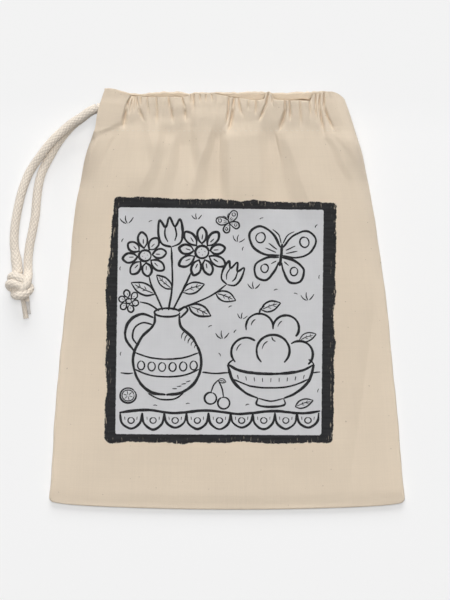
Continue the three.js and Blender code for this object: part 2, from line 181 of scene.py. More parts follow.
def mesh_object(name, points, faces, material, place=None, normals=None, extra=None):
    """A smooth mesh from points in millimetres, with a UV and named extra vectors for each vertex."""
    mesh = bpy.data.meshes.new(name)
    mesh.from_pydata((np.asarray(points) * MM).tolist(), [], [f.tolist() for f in faces])
    mesh.polygons.foreach_set("use_smooth", np.ones(len(mesh.polygons), bool))
    if place is not None:
        corners = np.empty(len(mesh.loops), np.int32)
        mesh.loops.foreach_get("vertex_index", corners)
        layer = mesh.uv_layers.new(name="UVMap")
        layer.data.foreach_set("uv", np.asarray(place, np.float32)[corners].ravel())
    for key, values in (extra or {}).items():
        attribute = mesh.attributes.new(key, "FLOAT_VECTOR", "POINT")
        attribute.data.foreach_set("vector", np.asarray(values, np.float32).ravel())
    mesh.materials.append(material)
    mesh.update()
    if normals is not None:
        mesh.normals_split_custom_set_from_vertices(np.asarray(normals).tolist())
    made = bpy.data.objects.new(name, mesh)
    bpy.context.scene.collection.objects.link(made)
    return made


def grid_normals(grid):
    """Unit normals of a grid of points, from the cross product of its two slopes."""
    along = np.gradient(grid, axis=0)
    across = np.gradient(grid, axis=1)
    normal = np.cross(across, along)
    return normal / np.maximum(np.linalg.norm(normal, axis=-1, keepdims=True), 1e-9)


def shell(grid, normal, place, thickness):
    """A closed sheet of a given thickness about a grid of points, with its UVs, normals and side."""
    rows, columns = grid.shape[:2]
    half = rows * columns
    upper = (grid + normal * thickness / 2).reshape(-1, 3)
    under = (grid - normal * thickness / 2).reshape(-1, 3)
    top = quads(rows, columns)
    bottom = top[:, ::-1] + half
    rim = np.concatenate(
        [
            np.arange(columns),
            np.arange(1, rows) * columns + columns - 1,
            (rows - 1) * columns + np.arange(columns - 2, -1, -1),
            np.arange(rows - 2, 0, -1) * columns,
        ]
    )
    after = np.roll(rim, -1)
    sides = np.stack([rim, rim + half, after + half, after], axis=1)
    flat = normal.reshape(-1, 3)
    side = np.concatenate([np.ones(half), -np.ones(half)])
    return (
        np.vstack([upper, under]),
        np.vstack([top, bottom, sides]),
        np.vstack([place.reshape(-1, 2)] * 2),
        np.vstack([flat, -flat]),
        side,
    )


def frames_along(path):
    """Tangents, and two directions square to them that turn as little as they can along the path."""
    tangent = np.gradient(path, axis=0)
    tangent /= np.linalg.norm(tangent, axis=1, keepdims=True)
    first = np.cross(tangent[0], [0.0, 0.0, 1.0])
    if np.linalg.norm(first) < 1e-6:
        first = np.array([1.0, 0.0, 0.0])
    side = np.empty_like(path)
    side[0] = first / np.linalg.norm(first)
    for k in range(1, len(path)):
        moved = side[k - 1] - tangent[k] * (side[k - 1] @ tangent[k])
        side[k] = moved / np.linalg.norm(moved)
    return tangent, side, np.cross(tangent, side)


def braid_height(turn, along, plaits, pitch):
    """Height from 0 to 1 of a round braid: turn in whole turns, along in millimetres, plaits each way."""
    p = plaits * turn + along / pitch
    q = plaits * turn - along / pitch
    over = (np.floor(p) + np.floor(q)) % 2 < 1
    bump_p = np.sin(np.pi * (p % 1))
    bump_q = np.sin(np.pi * (q % 1))
    return np.where(over, bump_p**0.8 * bump_q**0.35, bump_q**0.8 * bump_p**0.35)


def tube(path, radius, sides, plaits=0, pitch=4.4, lift=0.0, squash=1.0, phase=0.0):
    """Points, faces and UVs of a round cord along a path, which swells and sinks with the braid's height."""
    _, side, up = frames_along(path)
    along = walked(path)
    turn = np.arange(sides) / sides
    angle = 2 * np.pi * turn
    reach = np.broadcast_to(np.asarray(radius, float), (len(path),))[:, None] * np.ones(sides)
    if plaits:
        height = braid_height(turn[None, :], along[:, None] + phase, plaits, pitch)
        reach = reach + lift * (height - 0.62)
    wide = reach * np.cos(angle)
    tall = reach * np.sin(angle) * squash
    points = path[:, None] + wide[..., None] * side[:, None] + tall[..., None] * up[:, None]
    place = np.stack(np.broadcast_arrays(turn, along[:, None]), axis=-1)
    points = points.reshape(-1, 3)
    place = place.reshape(-1, 2)
    ends = []
    for ring, flip in ((0, False), (len(path) - 1, True)):
        middle = len(points)
        points = np.vstack([points, path[ring]])
        place = np.vstack([place, [0.5, along[ring]]])
        rim = ring * sides + np.arange(sides)
        cap = np.stack([np.roll(rim, -1), rim, np.full(sides, middle)], axis=1)
        ends.append(cap[:, ::-1] if flip else cap)
    return points, [*quads(len(path), sides, wrap=True), *np.vstack(ends)], place


def joined(parts):
    """Several (points, faces, place) meshes as one."""
    points, faces, place, first = [], [], [], 0
    for some_points, some_faces, some_place in parts:
        points.append(some_points)
        place.append(some_place)
        faces.extend(np.asarray(f) + first for f in some_faces)
        first += len(some_points)
    return np.vstack(points), faces, np.vstack(place)


# Shader nodes


def put(tree, kind, inputs=None, **settings):
    """A new node with its settings, and its inputs given as numbers or as other nodes' outputs."""
    made = tree.nodes.new(kind)
    for name, value in settings.items():
        setattr(made, name, value)
    for name, value in (inputs or {}).items():
        if isinstance(value, bpy.types.NodeSocket):
            tree.links.new(value, made.inputs[name])
        else:
            made.inputs[name].default_value = value
    return made


def cloth_place(tree):
    """The piece's own UV map."""
    return put(tree, "ShaderNodeUVMap", uv_map="UVMap").outputs[0]


def calc(tree, operation, *values, clamp=False):
    """The output of one Math node."""
    made = put(tree, "ShaderNodeMath", dict(enumerate(values)), operation=operation)
    made.use_clamp = clamp
    return made.outputs[0]


def vector_calc(tree, operation, inputs):
    """The vector output of one Vector Math node."""
    return put(tree, "ShaderNodeVectorMath", inputs, operation=operation).outputs[0]


def scaled(tree, vector, x, y):
    """A vector times one number across and one number along."""
    return vector_calc(tree, "MULTIPLY", {0: vector, 1: (x, y, 1.0)})


def axes_of(tree, vector):
    """The three parts of a vector."""
    return put(tree, "ShaderNodeSeparateXYZ", {0: vector}).outputs


def cloud(tree, vector, scale):
    """The colour of a Noise Texture, as a wandering vector."""
    return put(tree, "ShaderNodeTexNoise", {"Vector": vector, "Scale": scale}).outputs["Color"]


def chosen_of(tree, share, low, high):
    """One value where share is 0 and another where it is 1."""
    return put(tree, "ShaderNodeMix", {0: share, 2: low, 3: high}).outputs[0]


def noise(tree, vector, scale, detail=2.0, roughness=0.5):
    """The factor of a Noise Texture."""
    sockets = {"Vector": vector, "Scale": scale, "Detail": detail, "Roughness": roughness}
    return put(tree, "ShaderNodeTexNoise", sockets).outputs["Fac"]


def ramp(tree, value, low, high, out_low=0.0, out_high=1.0):
    """value from low to high, mapped to out_low to out_high and held there."""
    sockets = {"Value": value, 1: low, 2: high, 3: out_low, 4: out_high}
    return put(tree, "ShaderNodeMapRange", sockets).outputs["Result"]


def blend_colour(tree, share, a, b):
    """Colour a with colour b laid over it by share."""
    made = put(tree, "ShaderNodeMix", data_type="RGBA")
    for index, value in ((0, share), (6, a), (7, b)):
        if isinstance(value, bpy.types.NodeSocket):
            tree.links.new(value, made.inputs[index])
        elif index:
            made.inputs[index].default_value = (*value, 1.0)
        else:
            made.inputs[index].default_value = value
    return made.outputs[2]


def new_group(name, inputs, outputs):
    """An empty node group with named sockets, and its input and output nodes."""
    tree = bpy.data.node_groups.new(name, "ShaderNodeTree")
    for label, kind, value in inputs:
        socket = tree.interface.new_socket(label, in_out="INPUT", socket_type=kind)
        if value is not None:
            socket.default_value = value
    for label, kind in outputs:
        tree.interface.new_socket(label, in_out="OUTPUT", socket_type=kind)
    return tree, tree.nodes.new("NodeGroupInput"), tree.nodes.new("NodeGroupOutput")


def use_group(tree, group, **inputs):
    """One use of a node group, with its own values."""
    return put(tree, "ShaderNodeGroup", inputs, node_tree=group).outputs


FLOAT, VECTOR = "NodeSocketFloat", "NodeSocketVector"


def make_weave():
    """Plain weave: warp and weft threads swap on top in a checker, each thread with its own slubs and
    painted shade.
    """
    tree, start, end = new_group(
        "plain weave",
        [("Place", VECTOR, None), ("Threads", FLOAT, 2600.0), ("Slubs", FLOAT, 0.06)],
        [("Height", FLOAT), ("Shade", FLOAT)],
    )
    place, threads, slubs = start.outputs[:3]
    spread = vector_calc(tree, "SCALE", {0: place, "Scale": threads})
    wander = scaled(tree, cloud(tree, spread, 0.11), 0.9, 0.9)
    spread = vector_calc(tree, "ADD", {0: spread, 1: wander})
    axes = axes_of(tree, spread)
    wave_u = calc(tree, "SINE", calc(tree, "MULTIPLY", axes[0], np.pi))
    wave_v = calc(tree, "SINE", calc(tree, "MULTIPLY", axes[1], np.pi))
    over = calc(tree, "GREATER_THAN", calc(tree, "MULTIPLY", wave_u, wave_v), 0.0)
    ridge_u = calc(tree, "ABSOLUTE", wave_u)
    ridge_v = calc(tree, "ABSOLUTE", wave_v)
    warp = calc(tree, "MULTIPLY", ridge_u, calc(tree, "POWER", ridge_v, 0.4))
    weft = calc(tree, "MULTIPLY", ridge_v, calc(tree, "POWER", ridge_u, 0.4))
    height = chosen_of(tree, over, weft, warp)
    thick_u = noise(tree, scaled(tree, spread, 1.0, 0.012), 0.6)
    thick_v = noise(tree, scaled(tree, spread, 0.012, 1.0), 0.6)
    slub = calc(tree, "SUBTRACT", calc(tree, "ADD", thick_u, thick_v), 1.0)
    tree.links.new(calc(tree, "MULTIPLY_ADD", slub, 0.5, height), end.inputs["Height"])
    # Shade is painted shade, lighter on raised thread tops and darker between threads, times each thread's
    # slub tone.
    shade = calc(tree, "MULTIPLY_ADD", slub, slubs, calc(tree, "MULTIPLY_ADD", height, 0.06, 0.965))
    tree.links.new(shade, end.inputs["Shade"])
    return tree


def make_flecks():
    """Seed flecks: small round specks in a few of many cells, and broad soft mottling."""
    tree, start, end = new_group(
        "seed flecks and mottling",
        [("Place", VECTOR, None), ("Cells", FLOAT, 160.0), ("Share", FLOAT, 0.1)],
        [("Fleck", FLOAT), ("Mottle", FLOAT)],
    )
    place, cells, share = start.outputs[:3]
    bent = vector_calc(tree, "ADD", {0: place, 1: scaled(tree, cloud(tree, place, 900.0), 0.0012, 0.0012)})
    cell = put(tree, "ShaderNodeTexVoronoi", {0: bent, "Scale": cells}, voronoi_dimensions="2D").outputs
    chance = put(tree, "ShaderNodeSeparateColor", {0: cell["Color"]}).outputs
    chosen = calc(tree, "LESS_THAN", chance[0], share)
    size = calc(tree, "MULTIPLY_ADD", chance[1], 0.06, 0.03)
    near = calc(tree, "SUBTRACT", 1.0, calc(tree, "DIVIDE", cell["Distance"], size), clamp=True)
    tree.links.new(calc(tree, "MULTIPLY", near, chosen), end.inputs["Fleck"])
    tree.links.new(ramp(tree, noise(tree, place, 28.0, 4.0), 0.3, 0.7), end.inputs["Mottle"])
    return tree


def make_braid():
    """A round braid: plaits run both ways, pass over each other by turns and mark the gaps for painted
    shade.
    """
    tree, start, end = new_group(
        "round braid",
        [("Place", VECTOR, None), ("Plaits", FLOAT, 8.0), ("Pitch", FLOAT, 3.6)],
        [("Height", FLOAT), ("Painted gap shade", FLOAT)],
    )
    place, plaits, pitch = start.outputs[:3]
    axes = axes_of(tree, place)
    around = calc(tree, "MULTIPLY", axes[0], plaits)
    along = calc(tree, "DIVIDE", axes[1], pitch)
    p = calc(tree, "ADD", around, along)
    q = calc(tree, "SUBTRACT", around, along)
    cells = calc(tree, "ADD", calc(tree, "FLOOR", p), calc(tree, "FLOOR", q))
    over = calc(tree, "LESS_THAN", calc(tree, "FLOORED_MODULO", cells, 2.0), 0.5)
    bump_p = calc(tree, "SINE", calc(tree, "MULTIPLY", calc(tree, "FRACT", p), np.pi))
    bump_q = calc(tree, "SINE", calc(tree, "MULTIPLY", calc(tree, "FRACT", q), np.pi))
    low = calc(tree, "MULTIPLY", calc(tree, "POWER", bump_q, 0.8), calc(tree, "POWER", bump_p, 0.35))
    high = calc(tree, "MULTIPLY", calc(tree, "POWER", bump_p, 0.8), calc(tree, "POWER", bump_q, 0.35))
    plait = chosen_of(tree, over, low, high)
    split = chosen_of(tree, over, bump_q, bump_p)
    lines = calc(tree, "SINE", calc(tree, "MULTIPLY", split, 9.0))
    fuzz = noise(tree, scaled(tree, place, 30.0, 3.0), 1.0, 3.0, 0.65)
    height = calc(tree, "MULTIPLY_ADD", lines, 0.07, calc(tree, "MULTIPLY_ADD", fuzz, 0.35, plait))
    tree.links.new(height, end.inputs["Height"])
    tree.links.new(ramp(tree, plait, 0.0, 0.55, 1.0, 0.0), end.inputs["Painted gap shade"])
    return tree


weave = make_weave()
flecks = make_flecks()
braiding = make_braid()


def new_material(name, roughness, sheen=0.0):
    """A material with one Principled shader: its tree and that shader."""
    made = bpy.data.materials.new(name)
    made.use_nodes = True
    tree = made.node_tree
    shader = tree.nodes["Principled BSDF"]
    shader.inputs["Roughness"].default_value = roughness
    shader.inputs["Specular IOR Level"].default_value = 0.25
    if sheen:
        shader.inputs["Sheen Weight"].default_value = sheen
        shader.inputs["Sheen Roughness"].default_value = 0.5
    return made, tree, shader


def relief(tree, shader, height, distance):
    """Feeds a height, in metres times distance, to the shader's normal."""
    raised = put(tree, "ShaderNodeBump", {"Height": height, "Distance": distance, "Strength": 1.0})
    tree.links.new(raised.outputs[0], shader.inputs["Normal"])


def tinted(tree, colour, *shades):
    """A colour times each of the shades."""
    made = put(tree, "ShaderNodeCombineColor", {0: colour[0], 1: colour[1], 2: colour[2]}).outputs[0]
    for shade in shades:
        made = vector_calc(tree, "SCALE", {0: made, "Scale": shade})
    return made


COTTON = (0.833, 0.705, 0.555)
FLECK_BROWN = (0.26, 0.17, 0.09)
GREY_GROUND = (0.688, 0.688, 0.702)
INK_BLACK = (0.0168, 0.0168, 0.0182)
CORD_COTTON = (0.82, 0.735, 0.632)


def cotton_colour(tree, place, colour):
    """Unbleached cotton with weave shade, mottling and seed flecks: its colour and the weave's outputs."""
    woven = use_group(tree, weave, Place=place)
    spots = use_group(tree, flecks, Place=place)
    mottle = ramp(tree, spots["Mottle"], 0.0, 1.0, 0.975, 1.02)
    plain = tinted(tree, colour, woven["Shade"], mottle)
    return blend_colour(tree, calc(tree, "MULTIPLY", spots["Fleck"], 0.7), plain, FLECK_BROWN), woven


def plain_cotton(name, colour):
    """The bag's cloth without a print."""
    made, tree, shader = new_material(name, 0.93, 0.12)
    place = cloth_place(tree)
    finish, woven = cotton_colour(tree, place, colour)
    tree.links.new(finish, shader.inputs["Base Color"])
    relief(tree, shader, woven["Height"], 0.00014)
    return made


def printed_cotton():
    """The front's cloth: grey ground in a black brushed border, only on the outer side of the panel."""
    made, tree, shader = new_material("printed cotton", 0.93, 0.12)
    place = cloth_place(tree)
    finish, woven = cotton_colour(tree, place, COTTON)
    edge = put(tree, "ShaderNodeAttribute", attribute_name="print_edge").outputs["Vector"]
    past_border, past_ground, outer_side = axes_of(tree, edge)
    flat = put(tree, "ShaderNodeAttribute", attribute_name="print_place").outputs["Vector"]
    fine = noise(tree, flat, 0.35, 4.0, 0.65)
    rough = past_border
    broad = noise(tree, flat, 0.04, 1.0)
    crumbly = noise(tree, flat, 2.0, 2.0, 0.6)
    for wobble, reach in ((broad, 5.5), (fine, 2.6), (crumbly, 0.8)):
        rough = calc(tree, "MULTIPLY_ADD", calc(tree, "SUBTRACT", wobble, 0.5), reach, rough)
    border = ramp(tree, rough, -0.2, 0.2, 1.0, 0.0)
    clean = calc(tree, "MULTIPLY_ADD", calc(tree, "SUBTRACT", fine, 0.5), 0.9, past_ground)
    ground = ramp(tree, clean, -0.15, 0.15, 1.0, 0.0)
    streak = noise(tree, scaled(tree, flat, 1.0, 0.14), 0.8, 3.0, 0.6)
    dry = calc(tree, "MULTIPLY", ramp(tree, streak, 0.60, 0.66), ramp(tree, rough, -4.0, 0.0))
    border = calc(tree, "MULTIPLY", border, calc(tree, "MULTIPLY_ADD", dry, -0.7, 1.0))
    on_side = calc(tree, "GREATER_THAN", outer_side, 0.5)
    brush = ramp(tree, noise(tree, scaled(tree, flat, 0.12, 0.9), 0.6, 3.0), 0.35, 0.8, 0.8, 1.9)
    ink = tinted(tree, INK_BLACK, brush)
    cloudy = ramp(tree, noise(tree, flat, 0.06, 3.0), 0.3, 0.7, 0.975, 1.025)
    grey = tinted(tree, GREY_GROUND, woven["Shade"], cloudy)
    finish = blend_colour(tree, calc(tree, "MULTIPLY", border, on_side), finish, ink)
    finish = blend_colour(tree, calc(tree, "MULTIPLY", ground, on_side), finish, grey)
    tree.links.new(finish, shader.inputs["Base Color"])
    relief(tree, shader, woven["Height"], 0.00012)
    return made


def ink_material():
    """Black ink of the drawn lines, with the weave's bumps and painted shade showing through."""
    made, tree, shader = new_material("black ink", 0.8)
    place = cloth_place(tree)
    woven = use_group(tree, weave, Place=place)
    tone = ramp(tree, noise(tree, place, 140.0, 3.0), 0.3, 0.8, 0.8, 1.7)
    tree.links.new(tinted(tree, INK_BLACK, tone, woven["Shade"]), shader.inputs["Base Color"])
    relief(tree, shader, woven["Height"], 0.00012)
    return made


def cord_material(name, colour, depth, plaits, pitch):
    """Soft braided cotton: raised plaits with painted shade in the gaps, a little fuzz and mottling."""
    made, tree, shader = new_material(name, 0.95, 0.35)
    place = cloth_place(tree)
    plaited = use_group(tree, braiding, Place=place, Plaits=plaits, Pitch=pitch)
    patches = noise(tree, scaled(tree, place, 5.0, 0.8), 1.0, 3.0, 0.6)
    # Painted shade: the cord's colour is darker in the gaps between plaits.
    shade = calc(tree, "MULTIPLY_ADD", plaited["Painted gap shade"], -0.29, ramp(tree, patches, 0.3, 0.75, 0.93, 1.09))
    tree.links.new(tinted(tree, colour, shade), shader.inputs["Base Color"])
    relief(tree, shader, plaited["Height"], depth)
    return made


def tip_material():
    """The smooth sleeve on the cord's end: dull clear plastic over cotton, a little streaked."""
    made, tree, shader = new_material("cord tip", 0.35)
    place = cloth_place(tree)
    streak = ramp(tree, noise(tree, scaled(tree, place, 6.0, 0.15), 1.0, 3.0), 0.3, 0.7, 0.8, 1.1)
    tree.links.new(tinted(tree, (0.60, 0.57, 0.54), streak), shader.inputs["Base Color"])
    relief(tree, shader, streak, 0.0001)
    return made


front_cotton = printed_cotton()
back_cotton = plain_cotton("plain cotton", COTTON)
seam_cotton = plain_cotton("seam cotton", (0.76, 0.64, 0.50))
black_ink = ink_material()
braid = cord_material("braided cotton", CORD_COTTON, 0.00022, 8.0, 3.6)
thread = cord_material("sewing thread", (0.80, 0.72, 0.60), 0.00006, 3.0, 0.8)
pale_thread = cord_material("pale sewing thread", (0.87, 0.765, 0.63), 0.00006, 3.0, 0.8)
sleeve = tip_material()


# The bag's outline


def half_width(rise):
    """Half the width at a rise from the bottom edge: it leans in, then is drawn in towards the mouth."""
    share = np.clip(rise / BAG_LENGTH, 0, 1)
    near = np.clip(CORNER_RADIUS - rise, 0, CORNER_RADIUS)
    corner = CORNER_RADIUS - np.sqrt(CORNER_RADIUS**2 - near**2)
    return BAG_WIDTH / 2 - SIDE_LEAN * share - GATHER_PULL * share**GATHER_POWER - corner


def edge_inset(y):
    """How far the left edge pulls in: a waist at the casing's foot, a hollow half way down and a waver."""
    waist = 2.3 * bump((y - 120.5) / 10)
    hollow = 1.5 * np.exp(-(((y - 8) / 44) ** 4))
    return waist + hollow + 0.22 * np.sin(y / 11.0) + 0.12 * np.sin(y / 4.3 + 1)


def edge_x(rise, side):
    """x of a side edge, -1 for the left and 1 for the right."""
    y = rise - TOP_Y
    out = half_width(rise) + EDGE_OUT
    if side < 0:
        out = out - edge_inset(y)
    else:
        swell = 0.8 * bump((y - 104) / 16)
        out = out + swell + 0.2 * np.sin(y / 12.5 + 2) + 0.1 * np.sin(y / 3.9)
    return MOUTH_DRIFT * rise / BAG_LENGTH + side * out


def x_at(rise, across):
    """x at a share across, from -1 at the left edge through 0 at the middle to 1 at the right edge."""
    middle = MOUTH_DRIFT * rise / BAG_LENGTH
    left = middle - edge_x(rise, -1)
    right = edge_x(rise, 1) - middle
    return middle + across * np.where(across < 0, left, right)


def y_at(rise, across):
    """y at a rise: the bottom edge bows down in the middle, and its corners are drawn up a little."""
    low = np.clip(1 - rise / BAG_LENGTH, 0, 1)
    bow = BOTTOM_BOW * across**2 * low**2 + 1.3 * np.abs(across) ** 14 * low**6
    return rise - TOP_Y + bow + (0.85 - 0.35 * across) * low**12


def side_seam(y, side):
    """Height of the side seam and the cloth's reach in from it, which opens like a gusset near the mouth."""
    if side < 0:
        share = smooth((y - 78) / 40)
        return mix(SEAM_Z, 6.8, share), mix(1.3, 6.0, share)
    share = smooth((y - 76) / 46)
    return mix(SEAM_Z, BEND_Z, share), mix(1.3, 10.0, share)


def rolled(target, y, inset, side, rise=FAR_FROM_FOOT):
    """Height of cloth that curves in from the side seam to a target height, as a quarter of an ellipse."""
    seam, reach = side_seam(y, side)
    near = np.minimum(inset, rise * reach / FOOT_REACH)
    return mix(seam, target, rounded(near / reach))


def closed_sides(target, y, inset, side, rise):
    """Height of a sheet that curves down to both side seams and stands free at the casing's left end."""
    roll = np.where(side < 0, rolled(target, y, inset, -1, rise), rolled(target, y, inset, 1, rise))
    return mix(roll, target, smooth((y - 111) / 8.2) * (side < 0))


def bore(up, top_reach):
    """Inner height of the casing at a distance above the cord's middle."""
    above = 1 - np.clip(up / top_reach, 0, 1) ** UPPER_POWER
    below = 1 - np.clip(-up / LOWER_REACH, 0, 1) ** LOWER_POWER
    return CORD_ROOM * np.where(up > 0, above, below)


# Top edges at rest, as (x, y)
FRONT_TOP = [
    (-92, 149.2), (-84.8, 148.9), (-81, 148.0), (-77, 146.6), (-72, 145.2), (-68.4, 144.3), (-64.8, 143.5),
    (-61.5, 143.9), (-59, 143.1), (-50, 143.2), (-43.7, 143.1), (-36, 143.3), (-30, 143.0), (-27.6, 143.9),
    (-26, 145.4), (-24.6, 145.6), (-23.4, 144.2), (-22.2, 145.3), (-20.6, 145.5), (-19.2, 144.1),
    (-17.8, 145.5), (-16.2, 145.4), (-14.9, 144.3), (-13.4, 145.6), (-11.9, 145.4), (-10.9, 144.6),
    (-9.6, 145.5), (-8, 145.2), (-5.4, 144.6), (0, 143.7), (2.4, 142.4), (3.6, 142.9), (5.6, 142.2),
    (9.1, 142.2), (14, 141.4), (20.9, 140.6), (26, 141.4), (27.3, 144.6), (28.6, 146.8), (30.4, 146.9),
    (31.5, 144.6), (32.6, 141.4), (40, 140.8), (44.3, 140.5), (50, 140.7), (57.2, 140.1), (59.2, 141.8),
    (60.6, 144.2), (62.4, 145.1), (63.2, 144.3), (64.6, 145.1), (66.2, 145.0), (67.3, 146.3), (70.2, 146.9),
    (75, 146.9), (77.5, 146.2), (79.6, 145.0), (81.2, 143.4), (82.3, 141.6), (83.2, 139.6), (84, 137.2),
]
BACK_TOP = [
    (-92, 149.6), (-85, 149.9), (-81, 149.3), (-76, 147.9), (-70, 146.5), (-66, 146.0), (-62, 145.7),
    (-57, 146.1), (-51, 146.9), (-44, 147.5), (-37, 147.6), (-31, 146.9), (-27.4, 145.9), (-24, 146.6),
    (-18, 146.9), (-10, 146.7), (-3, 147.0), (8, 147.0), (16, 147.2), (24, 147.4), (31.5, 146.8),
    (41, 146.6), (49, 147.1), (58, 147.4), (66, 147.3), (72.8, 147.8), (76.3, 147.0), (79.4, 145.5),
    (81.2, 143.8), (82.3, 142.0), (83.2, 140.0), (84, 137.6),
]

# Narrow folds of the gathered front: course from the top, half width at top and foot, depth at top and foot
CREASES = [
    ([(-68.1, 142.5), (-69.6, 140.1), (-71.6, 131.3), (-72.4, 124.6)], 0.8, 1.7, 2.2, 4.5),
    ([(-66.3, 143.0), (-67.5, 137.2), (-68.4, 132.6)], 0.6, 0.8, 2.2, 1.4),
    ([(-65.1, 142.5), (-65.5, 134.0)], 0.55, 0.7, 2.2, 1.3),
    ([(-63.7, 143.6), (-63.0, 137.2), (-59.2, 128.5)], 0.65, 1.3, 2.4, 2.2),
    ([(-61.0, 143.6), (-60.6, 138.0)], 0.6, 0.8, 2.1, 1.1),
    ([(-56.3, 143.0), (-55.1, 131.3)], 0.6, 0.9, 1.2, 0.8),
    ([(-49.6, 143.0), (-49.2, 132.0), (-49.4, 126.0)], 0.65, 1.1, 1.8, 1.4),
    ([(-41.2, 143.0), (-40.4, 137.2), (-38.9, 132.4), (-38.3, 127.0)], 0.65, 1.3, 2.2, 1.9),
    ([(-31.8, 143.2), (-30.1, 137.2), (-29.0, 128.5)], 0.65, 1.4, 2.1, 2.2),
    ([(-25.4, 146.0), (-25.0, 138.0)], 0.55, 0.9, 2, 0.8),
    ([(-23.4, 146.0), (-23.7, 134.0)], 0.55, 1.2, 2.2, 1.3),
    ([(-19.2, 146.0), (-18.8, 139.0)], 0.5, 0.8, 2, 0.64),
    ([(-14.9, 146.0), (-15.0, 139.5)], 0.5, 0.8, 1.8, 0.64),
    ([(-10.9, 146.0), (-10.5, 140.0)], 0.5, 0.8, 1.5, 0.48),
    ([(1.2, 144.0), (0.9, 133.6), (-0.4, 125.5)], 0.7, 1.2, 2.4, 3),
    ([(4.8, 143.5), (4.2, 134.8), (2.9, 127.5), (1.6, 121.8)], 0.8, 1.6, 2.8, 4.8),
    ([(8.2, 143.0), (8.6, 137.2), (10.2, 131.5)], 0.6, 1.2, 2.2, 1.6),
    ([(15.2, 142.5), (14.8, 135.0)], 0.55, 0.9, 1.2, 0.64),
    ([(20.4, 142.5), (20.0, 131.5)], 0.65, 1.2, 2.1, 1.4),
    ([(28.2, 142.5), (27.4, 138.3), (25.4, 133.5), (23.2, 128.4)], 0.75, 1.3, 2.5, 2.6),
    ([(32.0, 145.0), (31.4, 139.0)], 0.55, 0.9, 2.2, 0.96),
    ([(40.6, 142.0), (40.9, 133.6), (39.8, 128.5), (37.8, 122.6)], 0.75, 1.7, 2.4, 4.8),
    ([(43.5, 142.0), (44.2, 134.0), (44.1, 128.4)], 0.65, 1.1, 2.1, 2.2),
    ([(51.0, 142.0), (51.6, 130.0), (51.8, 124.5)], 0.6, 1.3, 1.4, 1.4),
    ([(57.6, 142.0), (58.6, 129.5)], 0.55, 1.1, 1.4, 1.1),
    ([(62.6, 145.5), (61.9, 139.0), (62.8, 129.0)], 0.6, 1.1, 2.2, 1.8),
    ([(65.3, 145.0), (64.6, 138.3), (66.0, 129.0), (67.6, 120.7)], 0.65, 1.3, 2.4, 3),
    ([(68.0, 146.5), (68.0, 137.0), (70.6, 129.5), (73.6, 123.0)], 0.65, 1.2, 2.4, 3.2),
]
# Shallow valleys below the casing and by the right edge, with the same five facts as the narrow folds
VALLEYS = [
    ([(11.6, 133.0), (12.7, 108.0)], 1.8, 3.0, 0.7, 0.5),
    ([(-5.0, 115.0), (-5.2, 106.0), (-5.2, 96.0), (-5.2, 80.0)], 0.9, 1.2, 0.9, 0.1),
    ([(34.0, 116.0), (34.6, 113.0), (36.0, 106.8), (38.0, 98.0)], 0.9, 1.4, 1.0, 0.5),
    ([(-80.0, 114.0), (-90.0, 92.0)], 2.4, 4.4, 0.4, 0.4),
    ([(103.0, -8.0), (96.6, -58.0), (87.0, -126.0)], 7.0, 9.0, 1.0, 1.0),
]
# Wide folds: course of the middle, half width at top and foot, climb of the cloth towards +X at top and foot
BANDS = [
    ([(-68.6, 143.0), (-71.4, 131.0), (-74.0, 125.4), (-80.2, 121.6), (-90.5, 117.6)], 1.0, 4.0, -0.3, -1.7),
    ([(-57.5, 130.0), (-56.4, 116.0), (-54.6, 106.8), (-52.6, 96.0)], 1.8, 2.4, 1.6, 1.3),
    ([(-45.4, 126.0), (-45.8, 116.0), (-47.2, 106.8), (-49.6, 96.0), (-53.6, 85.6), (-58.0, 77.0)],
     1.8, 4.8, -1.9, -3.0),
    ([(-35.6, 118.0), (-37.9, 96.3), (-40.2, 85.6), (-42.0, 74.0)], 2.8, 4.0, -2.2, -3.0),
    ([(-23.8, 137.0), (-23.4, 118.0), (-22.8, 106.8), (-20.5, 94.0)], 2.2, 3.0, 2.4, 3.2),
    ([(-8.0, 126.0), (-13.1, 106.8), (-16.6, 96.3), (-18.4, 85.6), (-21.4, 70.0)], 1.5, 5.6, -1.4, -5.2),
    ([(0.4, 125.0), (-1.6, 113.0), (-1.8, 100.0), (-1.4, 66.0)], 3.2, 4.4, 3.8, 5.4),
    ([(24.0, 127.0), (25.2, 107.7), (26.8, 96.3), (28.2, 70.0)], 3.0, 4.2, -2.8, -4.0),
    ([(35.6, 124.0), (37.4, 113.0), (39.6, 106.8), (43.1, 96.3), (45.6, 85.6), (49.4, 74.0), (54.0, 62.0)],
     3.4, 7.6, 3.0, 5.6),
    ([(66.4, 124.0), (70.6, 114.0), (75.6, 106.8), (79.8, 96.3), (87.0, 85.0), (91.4, 66.0)],
     1.8, 3.2, 1.1, 1.8),
    ([(74.0, 118.0), (84.1, 106.8), (92.0, 96.0), (97.0, 84.0)], 1.5, 2.4, 0.5, 0.8),
]
BAND_REACH = 24.0
SOFTNESS = 0.03


def along_course(x, y, course):
    """Distance across a fold at each spot, and the share of its course there from 0 at its top."""
    spots = np.array(course)[::-1]
    first = spots[0] + (spots[0] - spots[1]) * 2
    last = spots[-1] + (spots[-1] - spots[-2]) * 2
    spots = np.vstack([first, spots, last])
    t = (course[0][1] - y) / (course[0][1] - course[-1][1])
    return x - np.interp(y, spots[:, 1], spots[:, 0]), t


def crease_shape(u):
    """A narrow crease across: 1 in its middle, a quarter at 1 and next to nothing at 2."""
    return np.exp(-((1.2 * np.abs(u)) ** 1.6))


def valley_shape(u):
    """A valley with straight walls across: 1 in its middle and 0 from 1 on, with soft shoulders."""
    rest = np.abs(u) - 1
    return 0.5 * (np.sqrt(rest**2 + SOFTNESS) - rest) / 1.0075


